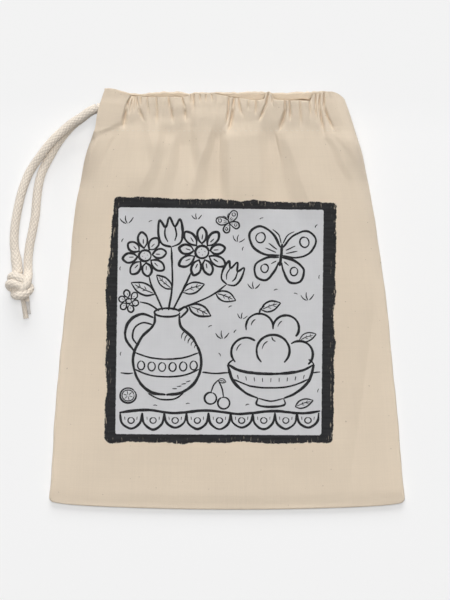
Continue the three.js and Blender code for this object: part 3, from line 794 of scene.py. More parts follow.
def fold_depth(x, y, folds, shape, top_fade, foot_fade):
    """Summed depth of folds of one shape. A fade is its start and its length, in shares of the course."""
    depth = np.zeros_like(x)
    for course, top_width, foot_width, top_depth, foot_depth in folds:
        across, t = along_course(x, y, course)
        held = np.clip(t, 0, 1)
        width = mix(top_width, foot_width, held)
        ends = smooth((t - top_fade[0]) / top_fade[1]) * (1 - smooth((t - foot_fade[0]) / foot_fade[1]))
        depth += mix(top_depth, foot_depth, held) * ends * shape(across / width)
    return depth


def band_height(x, y):
    """Summed height of the wide folds: the cloth climbs evenly across each and comes back on both sides."""
    height = np.zeros_like(x)
    for course, top_width, foot_width, top_climb, foot_climb in BANDS:
        across, t = along_course(x, y, course)
        held = np.clip(t, 0, 1)
        u = across / mix(top_width, foot_width, held)
        climb = 0.25 * (np.sqrt((u + 1) ** 2 + SOFTNESS) - np.sqrt((u - 1) ** 2 + SOFTNESS))
        tilted = climb + 0.15 * np.sign(foot_climb)
        ends = smooth((t + 0.03) / 0.24) * (1 - smooth((t - 0.6) / 0.8))
        height += mix(top_climb, foot_climb, held) * ends * tilted * bump(across / BAND_REACH)
    return height


DEEPEST = 6.0


def front_relief(x, y):
    """How far the front's outer cloth stands above its plain form: puffs by the gathers, folds and waves."""
    gathered = smooth((x + 76) / 8) * smooth((79 - x) / 7)
    fans = smooth((y - 62) / 50)
    ripple = 0.45 * lattice(x, y, (4.1, 70), 5) * gathered * fans
    ripple = ripple + 0.42 * lattice(x, y, (11, 50), 6) * smooth((y - 30) / 70)
    slow = 0.42 * lattice(x, y, (58, 44), 7) + 0.08 * lattice(x, y, (19, 17), 8)
    line = bump((y - CASING_BOTTOM) / 0.8) * smooth((x + 90) / 10)
    pucker = (0.08 * np.sin(x * 2 * np.pi / STITCH_PITCH) - 0.05) * line
    inner_hem = -0.12 * bump((y - HEM_FOLD_Y) / 0.7) * (1 - 0.6 * gathered)
    creases = 1.4 * fold_depth(x, y, CREASES, crease_shape, (-0.4, 0.35), (0.62, 0.66))
    valleys = fold_depth(x, y, VALLEYS, valley_shape, (-0.16, 0.26), (0.72, 0.5))
    sunk = DEEPEST * np.tanh((creases + valleys) / DEEPEST)
    return ripple + slow + pucker + inner_hem + band_height(x, y) - sunk


def spaced(*runs):
    """Rising values from runs of (from, to, step), with the last one closed."""
    parts = [np.linspace(a, b, max(1, int(round((b - a) / step))), endpoint=False) for a, b, step in runs]
    return np.concatenate([*parts, [runs[-1][1]]])


def shares_across(count, edge):
    """Shares from the middle to an edge: even steps, then closer ones where the cloth curves in."""
    even = np.linspace(0, 1 - edge, count)
    close = edge * np.sin(np.linspace(0, 1, 13)[1:] * np.pi / 2)
    return np.concatenate([even, 1 - edge + close])


def both_sides(shares):
    """Shares from the left edge to the right one."""
    return np.concatenate([-shares[:0:-1], shares])


def inset_from_edge(x, rise, side):
    """Distance in from the nearer side edge."""
    return np.where(side < 0, x - edge_x(rise, -1), edge_x(rise, 1) - x)


SHOULDER = 17.2
PUFF = 0.4
HEADER_Z = 19.8
HEADER_UNDER = 16.6
PRESSED_Z = 16.2
PRESSED_WIDE = 3.3
PRESSED_TALL = 2.3
PANEL_ROWS = ((0, 1.2, 0.15), (1.2, 4, 0.7), (4, 170, 2.0), (170, 214, 1.4), (214, PANEL_TOP, 0.9))
BACK_ROWS = ((0, 1.2, 0.15), (1.2, 4, 0.7), (4, 200, 4.0), (200, 236, 2.4), (236, PANEL_TOP, 1.2))


def panel_height(rise, y, across):
    """Height of the front panel's middle layer without folds: it rises from the foot towards the mouth."""
    share = np.clip(rise / PANEL_TOP, 0, 1)
    opened = smooth((y - 80) / 36)
    fullness = mix(LOW_FULLNESS, MOUTH_FULLNESS, share)
    lift = SHOULDER * share * (1 + 0.12 * np.sin(np.pi * share))
    padded = 0.9 * smooth(rise / 12) * bump(rise / 80)
    return PANEL_FOOT_Z + padded + lift * (1 - (1 - opened) * np.abs(across) ** fullness)


def sheet_place(across, climbed):
    """UVs of a sheet in millimetres: its flat width across, and a length along it for each row."""
    return np.stack(np.broadcast_arrays(across[None, :] * BAG_WIDTH / 2, climbed[:, None]), axis=-1)


def top_edge(line, across):
    """y of a drawn top edge at a share across."""
    return np.interp(x_at(np.full_like(across, TOP_RISE), across), *np.array(line).T)


def inside_x(rise, across):
    """x of the turned-down inner cloth, which stops short of the cord's bend at the right end."""
    x = x_at(rise, across)
    return x - np.where(across >= 0, smooth((x - 55) / 30), 0) * BEND_ROOM


def curled(z, x, side):
    """Height of the inner cloth, which curls to the middle of the cord's bend at the right end."""
    return np.where(side > 0, mix(BEND_Z, z, rounded((CURL_X - x) / CURL_REACH)), z)


def top_fold(outer, inner, reach):
    """Four rows that turn over the top edge from one sheet's last row to the next one's first."""
    turn = np.radians([50, 15, -20, -55])[:, None]
    share = (1 - np.sin(turn)) / 2
    start, stop = outer[-1], inner[0]
    fold = start + (stop - start) * share[..., None]
    fold[..., 1] = mix(start[:, 1], stop[:, 1], share) + reach * np.cos(turn)
    return fold


def front_panel(across):
    """The front panel as rows of points, from the bottom edge up to the casing's stitching."""
    rise = spaced(*PANEL_ROWS)[:, None]
    a = across[None, :]
    side = np.where(a < 0, -1, 1)
    x = x_at(rise, a)
    y = y_at(rise, a)
    inset = inset_from_edge(x, rise, side)
    rim = 1 - rounded(np.minimum(inset, rise) / 1.1)
    target = panel_height(rise, y, a) - 0.5 * rim
    target = target + front_relief(x, y) * smooth(np.minimum(inset, rise + 0.4) / 5)
    grid = np.stack([x, y, closed_sides(target, y, inset, side, rise)], axis=-1)
    return grid, sheet_place(across, rise[:, 0])


def front_casing(across):
    """The front's casing: up over the cord from the stitching, round the top fold and down to the hem."""
    a = across[None, :]
    side = np.where(a < 0, -1, 1)
    top = top_edge(FRONT_TOP, a)
    foot = y_at(np.full_like(a, PANEL_TOP), a)
    upper = 0.78 + 0.22 * np.sin(np.linspace(0, np.pi / 2, 19)[1:])
    t = np.concatenate([np.linspace(0, 0.78, 42), upper])[:, None]
    y = mix(foot, top, t)
    x = x_at(y + TOP_Y, a)
    inset = inset_from_edge(x, y + TOP_Y, side)
    relief = front_relief(x, y)
    held = np.where(side < 0, smooth(inset / 5), smooth(inset / 9))
    plateau = PANEL_FOOT_Z + SHOULDER + PUFF * smooth((y - foot) / 13) - 0.5 * smooth((y - 138) / 6)
    target = plateau + relief * held
    lip = HEADER_Z + 0.4 * relief * held
    target = mix(np.minimum(lip, target), target, rounded((top - y) / 0.35))
    past_cord = np.clip(np.abs(y - CORD_Y) / (PRESSED_WIDE + 0.5), 0, 1)
    over = mix(FRONT_LIFT + 0.95, PRESSED_Z + PRESSED_TALL + 0.4, np.sqrt(1 - past_cord**2))
    over = np.maximum(over, np.where(y > CORD_Y, HEADER_UNDER + 0.6, 0))
    target = np.maximum(target, over)
    outer = np.stack([x, y, np.where(side < 0, target, rolled(target, y, inset, 1))], axis=-1)

    wave = 0.5 * uneven(x[-1], 2.2, 13) + 0.5 * uneven(x[-1], 5, 14)
    wave = wave * smooth((x[-1] + 80) / 12) * smooth((80 - x[-1]) / 8)
    down = np.linspace(0, 1, 15)[:, None]
    y_in = mix(top - 0.75, foot + 1.2, down)
    x_in = inside_x(y_in + TOP_Y, a)
    low = smooth((128.5 - y_in) / 8)
    under = mix(HEADER_UNDER, FRONT_LIFT + 0.3, smooth((top - 0.75 - y_in) / 3.2))
    stitched = PANEL_FOOT_Z + SHOULDER - 0.7 + np.minimum(front_relief(x_in, y_in), 0)
    flat_z = mix(under, stitched, low) + wave * (1 - smooth(down * 3))
    ruck = 0.7 * np.sin(x_in * 2 * np.pi / 3.1 + 1.2 * lattice(x_in, y_in, (9, 30), 15)) - 0.7
    flat_z = flat_z + ruck * smooth(down * 3) * smooth((x_in + 80) / 10) * smooth((72 - x_in) / 10)
    inner = np.stack([x_in, y_in, curled(flat_z, x_in, side)], axis=-1)
    outer[..., 2] += smooth((t - 0.7) / 0.3) * wave
    grid = np.concatenate([outer, top_fold(outer, inner, 0.15), inner])
    return grid, sheet_place(across, PANEL_TOP + walked(grid[:, len(across) // 2]))


def back_sheet(across):
    """The back's cloth. Its outer side lies flat, and the casing bulges on the inside."""
    rise = spaced(*BACK_ROWS)[:, None]
    a = across[None, :]
    side = np.where(a < 0, -1, 1)
    x = x_at(rise, a)
    y = y_at(rise, a)
    inset = inset_from_edge(x, rise, side)
    panel = np.stack([x, y, closed_sides(BACK_Z + 0 * x, y, inset, side, rise)], axis=-1)

    top = top_edge(BACK_TOP, a)
    mouth_x = x_at(np.full_like(a, MOUTH_RISE), a)
    gathered = smooth((mouth_x + 78) / 10) * smooth((80 - mouth_x) / 8)
    top = top + gathered * (0.35 * uneven(mouth_x, 2.6, 27) + 0.25 * uneven(mouth_x, 6, 28))
    t = np.linspace(0, 1, 26)[1:, None]
    y = mix(y_at(np.full_like(a, PANEL_TOP), a), top, t)
    x = x_at(y + TOP_Y, a)
    inset = inset_from_edge(x, y + TOP_Y, side)
    target = BACK_Z + gathered * 0.22 * (1 + lattice(x, y, (3.1, 50), 21)) * smooth((t - 0.2) / 0.4)
    outer = np.stack([x, y, np.where(side < 0, target, rolled(target, y, inset, 1))], axis=-1)

    t = np.concatenate([np.linspace(0, 0.3, 34), np.linspace(0.3, 1, 28)[1:]])[:, None]
    y = mix(top - 0.15, CASING_BOTTOM + 0.9, t)
    x = inside_x(y + TOP_Y, a)
    ruck = gathered * (0.9 * lattice(x, y, (2.3, 40), 22) + 0.7 * lattice(x, y, (5.5, 40), 23) + 0.6)
    level = 0.95 + bore(y - CORD_Y, np.minimum(top - CORD_Y, 5.8))
    held = smooth((level - 0.95) / 1.2) * smooth((y - CASING_BOTTOM) / 4)
    target = level + ruck * held
    behind = y - np.interp(x, *np.array(FRONT_TOP).T)
    wide = 0.6 + 0.4 * uneven(x, 6, 25) + 0.9 * np.exp(-(((x - 51) / 8) ** 4))
    ruffle = 3.0 + 0.22 * np.clip(behind, 0, 5) + gathered * 0.35 * lattice(x, y, (3.4, 50), 24)
    ruffle = ruffle * smooth((behind - wide) / 0.7) * smooth((y - 141) / 1.2)
    target = target + ruffle * rounded((top - y) / 0.45)
    over_cord = BACK_CORD_Z + np.sqrt(np.clip((CORD_RADIUS + 0.6) ** 2 - (y - CORD_Y) ** 2, 0, None))
    target = np.maximum(target, np.where(np.abs(y - CORD_Y) < CORD_RADIUS + 0.55, over_cord, 0.9))
    inner = np.stack([x, y, curled(target, x, side)], axis=-1)
    grid = np.concatenate([panel, outer, top_fold(outer, inner, 0.4), inner])
    return grid, sheet_place(across, -walked(grid[:, len(across) // 2]))


def follow_mouth(piece):
    """Bakes a piece's transform into its mesh."""
    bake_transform(piece)


def side_name(side):
    """The word for a side."""
    return "right" if side > 0 else "left"


def fitted(piece, slot, *nodes, rides=None, side=0):
    """Hides the nodes that a piece stands for, ties it to what it moves with, bakes its transform when it
    has a side, and gives it back; its slot is not used.
    """
    if nodes:
        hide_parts(*nodes)
    if rides:
        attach(piece, rides)
    if side:
        follow_mouth(piece)
    return piece


# Corners of the print's border and of its grey ground, clockwise from the top left
BORDER_CORNERS = [(-78.8, 73.4), (76.9, 68.8), (74.7, -100.4), (-85.8, -99.8), (-85.0, 16.0)]
GROUND_CORNERS = [(-76.3, 65.9), (67.8, 64.0), (66.4, -94.7), (-78.9, -93.8)]


def outside_of(x, y, corners, radius):
    """Signed distance from an outline with round corners, negative inside. A fifth corner bends its left."""
    spots = np.array(corners)
    sides = []
    for k in range(len(spots)):
        ahead = spots[(k + 1) % len(spots)] - spots[k]
        ahead = ahead / np.linalg.norm(ahead)
        sides.append((y - spots[k][1]) * ahead[0] - (x - spots[k][0]) * ahead[1] + radius)
    tall = np.maximum(sides[0], sides[2])
    wide = np.maximum.reduce([sides[1], *sides[3:]])
    beyond = np.hypot(np.maximum(tall, 0), np.maximum(wide, 0))
    return beyond + np.minimum(np.maximum(tall, wide), 0) - radius


def cloth_half(name, grid, place, across, side, material, outward, printed=False):
    """One half of a sheet as a closed shell. outward is -1 where the grid's own normals point in."""
    kept = across <= 1e-9 if side < 0 else across >= -1e-9
    part = grid[:, kept]
    normal = grid_normals(grid)[:, kept] * outward
    points, faces, uv, normals, facing = shell(part, normal, place[:, kept] * MM, CLOTH)
    if outward < 0:
        faces = faces[:, ::-1]
    extra = None
    if printed:
        x, y = np.vstack([part.reshape(-1, 3)] * 2)[:, :2].T
        border = outside_of(x, y, BORDER_CORNERS, 3.5)
        ground = outside_of(x, y, GROUND_CORNERS, 1.2)
        edge = np.stack([border, ground, facing], axis=1)
        extra = {"print_edge": edge, "print_place": np.stack([x, y, 0 * x], axis=1)}
    return mesh_object(name, points, faces, material, uv, normals, extra)


def make_cloth():
    """The front's panel and casing and the back, each as two halves that meet along the middle."""
    across = both_sides(shares_across(150, 0.085))
    close = both_sides(shares_across(290, 0.1))
    coarse = both_sides(shares_across(84, 0.1))
    panel = (*front_panel(across), across)
    casing = (*front_casing(close), close)
    back = (*back_sheet(coarse), coarse)
    made = {}
    for side in (-1, 1):
        word = side_name(side)
        made[word] = (
            cloth_half(f"front_cloth_{word}", *panel, side, front_cotton, 1, printed=True),
            cloth_half(f"front_casing_cloth_{word}", *casing, side, back_cotton, 1),
            cloth_half(f"back_cloth_{word}", *back, side, back_cotton, -1),
        )
    return made


cloth = make_cloth()


# Cords

FRONT_ROUTE = [
    (-97.2, 133.2, 16.0), (-102.6, 129.3, 14.2), (-108.8, 125.6, 12.0), (-115.8, 119.9, 10.2),
    (-122.3, 113.9, 9.2), (-127.9, 107.5, 8.0), (-132.3, 101.6, 6.1), (-136.7, 95.6, 4.0),
    (-139.8, 90.6, 3.3), (-142.4, 84.6, 3.2), (-145.2, 76.2, 3.2), (-148.0, 64.2, 3.2),
    (-150.0, 51.0, 3.2), (-150.4, 40.5, 3.2), (-149.5, 32.8, 3.4), (-148.5, 26.6, 3.9),
    (-147.9, 19.6, 4.6),
]
BACK_ROUTE = [
    (-97.2, 133.2, 3.7), (-102.6, 129.1, 3.3), (-108.4, 124.8, 3.05), (-113.6, 119.4, 3.05),
    (-118.2, 113.6, 3.05), (-121.9, 107.8, 3.05), (-125.3, 101.7, 3.05), (-128.4, 96.0, 3.05),
    (-131.4, 89.2, 3.05), (-133.4, 80.6, 3.05), (-134.6, 71.0, 3.05), (-135.4, 60.8, 3.05),
    (-137.4, 49.6, 3.05), (-139.4, 39.6, 3.05), (-140.5, 30.4, 3.05), (-140.6, 24.0, 3.6),
    (-140.5, 19.6, 4.4),
]
PLAITS = 8
BRAID_PITCH = 3.6
BRAID_LIFT = 0.22


def make_strand(name, route, start_z, node, spread):
    """One free strand of the cord, from the casing's mouth to the knot, where it thickens by spread."""
    path = curve_through([(STRAND_START_X, CORD_Y, start_z), *route], 0.36)
    radius = mix(CORD_RADIUS, STRAND_RADIUS, smooth((STRAND_START_X - 2 - path[:, 0]) / 8))
    radius = radius + spread * smooth((36 - path[:, 1]) / 7)
    points, faces, place = tube(path, radius, 56, PLAITS, BRAID_PITCH, BRAID_LIFT)
    points[:, 2] = np.maximum(points[:, 2], 0.06)
    made = fitted(mesh_object(name, points, faces, braid, place), "braided_cotton", node)
    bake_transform(made)
    return made, path


def make_held_cord():
    """The cord inside the casings: one hairpin round the right end."""
    turn = np.linspace(0, np.pi, 34)
    bend_x = BEND_X + BEND_RADIUS * np.sin(turn)
    bend = np.stack([bend_x, 0 * turn + CORD_Y, BEND_Z + BEND_RADIUS * np.cos(turn)], axis=1)
    run = np.linspace(STRAND_START_X, BEND_X, 240)[:-1]
    pressed = smooth((run + 86) / 8) * smooth((BEND_X - run) / 10)
    front = np.stack([run, 0 * run + CORD_Y, mix(FRONT_CORD_Z, PRESSED_Z, pressed)], axis=1)
    back = np.stack([run[::-1], 0 * run + CORD_Y, 0 * run + BACK_CORD_Z], axis=1)
    path = np.vstack([front, bend, back])
    flat = np.ones(len(path))
    flat[: len(run)] = mix(1.0, PRESSED_TALL / PRESSED_WIDE, pressed)
    points, faces, place = tube(path, CORD_RADIUS - 0.05, 32, PLAITS, BRAID_PITCH, 0.2, flat[:, None])
    made = mesh_object("cord_in_casing", points, faces, braid, place)
    return fitted(made, "braided_cotton", "drawcord_in_casing", rides="drawcord")


held_cord = make_held_cord()
front_strand, front_path = make_strand(
    "cord_front_strand", FRONT_ROUTE, FRONT_CORD_Z, "front_strand", spread=0.7
)
back_strand, back_path = make_strand(
    "cord_back_strand", BACK_ROUTE, BACK_CORD_Z, "back_strand", spread=0.0
)

# The knot's turns: the course of each length of cord, its half thickness and its height over its width
KNOT_TURNS = [
    ([(-150.2, 13.5, 3.2), (-152.2, 16.2, 4.6), (-150.8, 17.6, 7.6), (-147.6, 16.6, 10.0),
      (-143.8, 13.8, 9.4), (-141.2, 10.6, 6.0)], 3.1, 1.0),
    ([(-140.7, 22.5, 3.7), (-140.5, 18.6, 5.6), (-140.9, 14.8, 9.0), (-142.0, 11.2, 10.6),
      (-144.6, 7.6, 9.8), (-147.6, 5.2, 6.0)], 3.3, 1.0),
    ([(-148.4, 8.6, 3.0), (-152.6, 9.8, 3.8), (-153.6, 11.6, 6.2), (-151.4, 12.4, 9.0),
      (-147.6, 11.6, 10.4), (-144.2, 9.4, 9.6), (-141.8, 7.6, 6.4)], 3.2, 1.0),
    ([(-142.8, 11.0, 3.4), (-139.8, 9.8, 4.8), (-139.7, 8.0, 7.6), (-141.9, 5.8, 10.0),
      (-145.4, 4.2, 10.4), (-148.6, 4.0, 8.0), (-149.6, 5.0, 4.8), (-147.0, 6.6, 3.2)], 3.3, 1.0),
    ([(-147.8, 24.0, 3.9), (-147.9, 19.0, 4.6), (-147.0, 13.0, 5.4), (-145.0, 7.0, 5.0),
      (-144.4, 2.5, 4.2)], 3.5, 0.95),
]


def knot_core():
    """A soft lump inside the turns, a stretched ball, so that nothing shows through between them."""
    rows, columns = 24, 36
    u = np.linspace(0.02, np.pi - 0.02, rows)[:, None]
    v = np.linspace(0, 2 * np.pi, columns, endpoint=False)[None, :]
    along = np.cos(u)
    x = -145.9 - 0.9 * along + 6.6 * np.sin(u) * np.cos(v)
    y = 10.4 + 9.4 * along + 0 * v
    z = 5.6 + 4.6 * np.sin(u) * np.sin(v)
    points = np.stack([x, y + 0 * x, z], axis=-1).reshape(-1, 3)
    place = np.stack([v / (2 * np.pi) + 0 * u, u * 6 + 0 * v], axis=-1).reshape(-1, 2)
    faces = list(quads(rows, columns, wrap=True)[:, ::-1])
    ends = np.array([points[:columns].mean(axis=0), points[-columns:].mean(axis=0)])
    rim = np.arange(columns)
    after = np.roll(rim, -1)
    pole = np.full(columns, rows * columns)
    last = (rows - 1) * columns
    faces += list(np.stack([rim, after, pole], axis=1))
    faces += list(np.stack([after + last, rim + last, pole + 1], axis=1))
    return np.vstack([points, ends]), faces, np.vstack([place, [[0.5, 0.0], [0.5, 18.0]]])


def make_knot():
    """An overhand knot in both strands: lengths of cord that wrap round each other over a core."""
    turns = [knot_core()]
    for number, (course, radius, flat) in enumerate(KNOT_TURNS):
        path = curve_through(course, 0.34)
        share = np.linspace(0, 1, len(path))
        slim = 1 - 0.25 * bump(share / 0.08) - 0.25 * bump((1 - share) / 0.08)
        turns.append(tube(path, radius * slim, 48, PLAITS, BRAID_PITCH, BRAID_LIFT, flat, 1.3 * number))
    points, faces, place = joined(turns)
    points[:, 2] = np.clip(points[:, 2], 0.05, 15.5)
    made = mesh_object("cord_knot", points, faces, braid, place)
    return fitted(made, "braided_cotton", "knot", rides="free_cord")


LEFT_TAIL = [
    (-144.8, 6.0, 4.0), (-144.0, 1.0, 2.9), (-143.5, -2.4, 2.3), (-142.8, -7.4, 2.05), (-142.0, -12.4, 2.0),
]
RIGHT_TAIL = [(-141.9, 6.0, 5.2), (-141.2, 2.4, 4.6), (-140.8, -0.4, 4.4)]
TIP_COURSE = [(-140.9, 0.4, 4.45), (-140.6, -2.4, 4.38), (-140.2, -5.6, 4.35), (-139.6, -9.4, 4.3)]
TAIL_PITCH = 2.6


def make_tails():
    """The two cut ends below the knot: a soft one, and one held in a smooth sleeve."""
    left = curve_through(LEFT_TAIL, 0.3)
    share = np.linspace(0, 1, len(left))
    radius = 2.25 - 0.55 * smooth(share / 0.5) + 0.25 * smooth((share - 0.8) / 0.2)
    points, faces, place = tube(left, radius, 40, PLAITS, TAIL_PITCH, 0.3, 0.9)
    tail = mesh_object("cord_left_tail", points, faces, braid, place)
    right = curve_through(RIGHT_TAIL, 0.3)
    points, faces, place = tube(right, 1.45, 32, 6, TAIL_PITCH, 0.2)
    short = mesh_object("cord_right_tail", points, faces, braid, place)
    path = curve_through(TIP_COURSE, 0.25)
    share = np.linspace(0, 1, len(path))
    radius = 1.56 - 0.12 * bump(share / 0.06) - 0.3 * smooth((share - 0.93) / 0.07)
    radius = radius - 0.35 * smooth((share - 0.1) / 0.4)
    points, faces, place = tube(path, radius, 28, 0, squash=0.9)
    tip = mesh_object("cord_tip", points, faces, sleeve, place)
    return (
        fitted(tail, "braided_cotton", "left_tail", rides="free_cord"),
        fitted(short, "braided_cotton", "right_tail", rides="free_cord"),
        fitted(tip, "cord_tip", "right_tail_tip", rides="free_cord"),
    )


knot = make_knot()
tails = make_tails()


# Seams and stitching


def surface_height(x, y):
    """Height of the front's outer face over a spot on the panel, by the front panel's own formulas."""
    rise = y + TOP_Y
    for _ in range(3):
        middle = MOUTH_DRIFT * rise / BAG_LENGTH
        left = middle - edge_x(rise, -1)
        right = edge_x(rise, 1) - middle
        across = (x - middle) / np.where(x < middle, left, right)
        rise = rise + y - y_at(rise, across)
    return panel_height(rise, y, across) + front_relief(x, y) + HALF_CLOTH


def stitch_row(points, directions, normals, length, radius):
    """Short round stitches, each a capsule of five rings of six, at given places."""
    ring = np.array([0.0, 0.8, 1.0, 0.8, 0.0])
    slide = np.array([-0.5, -0.36, 0.0, 0.36, 0.5]) * length
    sink = np.array([-0.9, -0.15, 0.25, -0.15, -0.9]) * radius
    angle = np.arange(6) * np.pi / 3
    side = np.cross(normals, directions)
    count = len(points)
    spread = ring[None, :, None, None] * radius
    body = (
        points[:, None, None]
        + slide[None, :, None, None] * directions[:, None, None]
        + sink[None, :, None, None] * normals[:, None, None]
        + spread * np.cos(angle)[None, None, :, None] * side[:, None, None]
        + spread * np.sin(angle)[None, None, :, None] * normals[:, None, None]
    )
    faces = (quads(5, 6, wrap=True)[None] + (np.arange(count) * 30)[:, None, None]).reshape(-1, 4)
    turn = np.broadcast_to(angle[None, None, :] / (2 * np.pi), (count, 5, 6))
    along = np.broadcast_to(slide[None, :, None], (count, 5, 6))
    return body.reshape(-1, 3), faces, np.stack([turn, along], axis=-1).reshape(-1, 2)


UP = np.array([0.0, 0.0, 1.0])
# Distance in from the edge of the seam allowances' cloth and of the thread that sews them
ALLOWANCE = (2.4, 10.6)
SEAM_LINE = 1.9


def sewn(name, points, directions, normal, radius, material, node, **moves):
    """Stitches at given places as one piece."""
    normals = np.tile(normal, (len(points), 1))
    body, faces, place = stitch_row(points, directions, normals, STITCH_LENGTH, radius)
    fitted(mesh_object(name, body, faces, material, place), "sewing_thread", node, **moves)


def allowance(name, grid, flipped, node, **moves):
    """Turned-in seam cloth over a grid of points. flipped tells that the grid's own normals point down."""
    normal = grid_normals(grid) * (-1 if flipped else 1)
    points, faces, uv, _, _ = shell(grid, normal, grid[..., :2] * MM, 1.0)
    made = mesh_object(name, points, faces[:, ::-1] if flipped else faces, seam_cotton, uv)
    fitted(made, "seam_cloth", node, **moves)


def make_hem_stitches():
    """The row of stitches along the foot of each casing, a half on each side of the middle."""
    for side in (-1, 1):
        x = np.arange(STITCH_PITCH / 2, 79, STITCH_PITCH) * side + MOUTH_DRIFT
        y = HEM_LINE + 0.12 * np.sin(x * 1.7)
        zero = 0 * x
        directions = np.stack([zero + 1, 0.05 * np.cos(x * 5), zero], axis=1)
        for name, z, normal in (("front", surface_height(x, y) + 0.08, UP), ("back", zero + 0.04, -UP)):
            points = np.stack([x, y, z], axis=1)
            row, node = f"{name}_hem_stitching_{side_name(side)}", f"{name}_hem_stitches"
            sewn(row, points, directions, normal, 0.27, pale_thread, node, side=side)


def make_side_seams():
    """The turned-in allowances inside the side edges and the thread that closes them."""
    rise = spaced((6, 200, 4.0), (200, 264, 2.0))[:, None]
    inset = np.linspace(*ALLOWANCE, 9)[None, :]
    for side in (-1, 1):
        word = side_name(side)
        y = y_at(rise, 1.0) + 0 * inset
        x = edge_x(rise, side) - side * inset
        ripple = 0.12 * np.sin(rise / 5.0) * (inset - ALLOWANCE[0]) / 8
        z = side_seam(y, side)[0] + 0.75 + ripple
        grid = np.stack([x, y, z], axis=-1)
        allowance(f"{word}_seam_allowance", grid, side > 0, f"{word}_side_seam", side=side)
        marks = np.arange(8, 262, STITCH_PITCH)
        ahead = edge_x(marks + 1, side) - edge_x(marks - 1, side)
        directions = np.stack([ahead, 0 * marks + 2, 0 * marks], axis=1)
        directions /= np.linalg.norm(directions, axis=1, keepdims=True)
        x = edge_x(marks, side) - side * SEAM_LINE
        y = y_at(marks, 1.0)
        points = np.stack([x, y, side_seam(y, side)[0] + 0.35], axis=1)
        row, node = f"{word}_seam_stitching", f"{word}_seam_thread"
        sewn(row, points, directions, UP, 0.22, thread, node, side=side)


def make_bottom_seam():
    """The turned-in allowance along the bottom edge and its thread."""
    across = np.linspace(-0.86, 0.86, 90)[:, None]
    inset = np.linspace(*ALLOWANCE, 9)[None, :]
    x = x_at(inset + 0 * across, across + 0 * inset)
    y = y_at(inset, across)
    z = 1.5 + 0.1 * np.sin(x / 6.0) * (inset - ALLOWANCE[0]) / 8
    allowance("bottom_seam_allowance", np.stack([x, y, z], axis=-1), True, "bottom_seam", rides="bag")
    x = np.arange(-112, 112, STITCH_PITCH)
    points = np.stack([x, y_at(SEAM_LINE, x / 121), 0 * x + 1.15], axis=1)
    directions = np.tile([1.0, 0.0, 0.0], (len(x), 1))
    sewn("bottom_seam_stitching", points, directions, UP, 0.22, thread, "bottom_seam_thread", rides="bag")


make_hem_stitches()
make_side_seams()
make_bottom_seam()

# The drawing in the print's ground: a still life of a jug, flowers, fruit and butterflies in brushed lines.
# Its points are in millimetres from the middle of the ground.
DRAWING_X = -5.2
DRAWING_Y = -14.6
INK_LIFT = 0.11
FINE_LINE = 0.9
BLUNT = 0.02**0.5


def arc(middle, wide, tall, start, stop, lean=0.0):
    """Points along an ellipse between two angles in degrees, turned by a lean in degrees."""
    count = max(6, int(abs(stop - start) / 24) + 2)
    angle = np.radians(np.linspace(start, stop, count))
    turn = np.radians(lean)
    x = wide * np.cos(angle)
    y = tall * np.sin(angle)
    across = middle[0] + x * np.cos(turn) - y * np.sin(turn)
    up = middle[1] + x * np.sin(turn) + y * np.cos(turn)
    return list(zip(across, up))


def placed(points, middle, turn, size=1.0):
    """Points of a small motif, drawn about its foot, set at a middle and turned by an angle in degrees."""
    spots = np.array(points, float) * size
    c, s = np.cos(np.radians(turn)), np.sin(np.radians(turn))
    return [(middle[0] + c * x - s * y, middle[1] + s * x + c * y) for x, y in spots]


def daisy(middle, reach, petals, turn, width):
    """A flower head seen from the front: a ring of round petals about a dotted eye."""
    eye = 0.27 * reach
    lines = [(width, arc(middle, eye, eye * 0.92, turn, turn + 366))]
    for k in range(petals):
        long = reach * (1 + 0.07 * np.sin(2.4 * k + turn))
        wide = 2.35 * reach / petals
        petal = [
            (0.10 * wide, eye * 1.12), (-0.62 * wide, 0.55 * long), (-0.66 * wide, 0.83 * long), (0, long),
            (0.66 * wide, 0.80 * long), (0.60 * wide, 0.52 * long), (-0.06 * wide, eye * 1.2),
        ]
        at = turn + 360 * k / petals
        lines.append((width, placed(petal, middle, at)))
        lines.append((0.55 * width, placed([(0, 0.5 * long), (0.5, 0.72 * long)], middle, at)))
    dot = [(0, 0.1 * reach), (0.9, 0.13 * reach)]
    return lines + [(0.7 * width, placed(dot, middle, turn + 90 * k + 20)) for k in range(4)]


def tulip(middle, turn, size, width):
    """A closed cup of three pointed petals on its stem's end."""
    outer = [
        (0, -9), (-6.2, -6.4), (-8.2, 0.5), (-6.6, 9.5), (-3.2, 4.6), (0, 11), (3.2, 4.6), (6.8, 9.2),
        (8.2, 0.2), (6.0, -6.6), (0, -9),
    ]
    folds = ([(-3.2, 4.6), (-3.9, -1.0), (-2.2, -5.6)], [(3.2, 4.6), (3.8, -1.0), (2.4, -5.2)])
    lines = [(width, placed(outer, middle, turn, size))]
    return lines + [(0.7 * width, placed(fold, middle, turn, size)) for fold in folds]


def leaf(foot, tip, fat, width):
    """A pointed leaf between its foot and its tip with a midrib and a few side ribs."""
    foot, tip = np.array(foot, float), np.array(tip, float)
    ahead = tip - foot
    side = np.array([-ahead[1], ahead[0]]) * fat
    up = [foot, foot + 0.28 * ahead + 0.8 * side, foot + 0.62 * ahead + 0.86 * side, tip]
    down = [tip, foot + 0.58 * ahead - 0.8 * side, foot + 0.25 * ahead - 0.72 * side, foot]
    midrib = [foot + 0.08 * ahead, foot + 0.5 * ahead + 0.1 * side, foot + 0.84 * ahead]
    lines = [(width, up), (width, down), (0.6 * width, midrib)]
    for share in (0.36, 0.6):
        root = foot + share * ahead
        for out in (0.45, -0.42):
            lines.append((0.5 * width, [root, root + 0.13 * ahead + out * side]))
    return lines


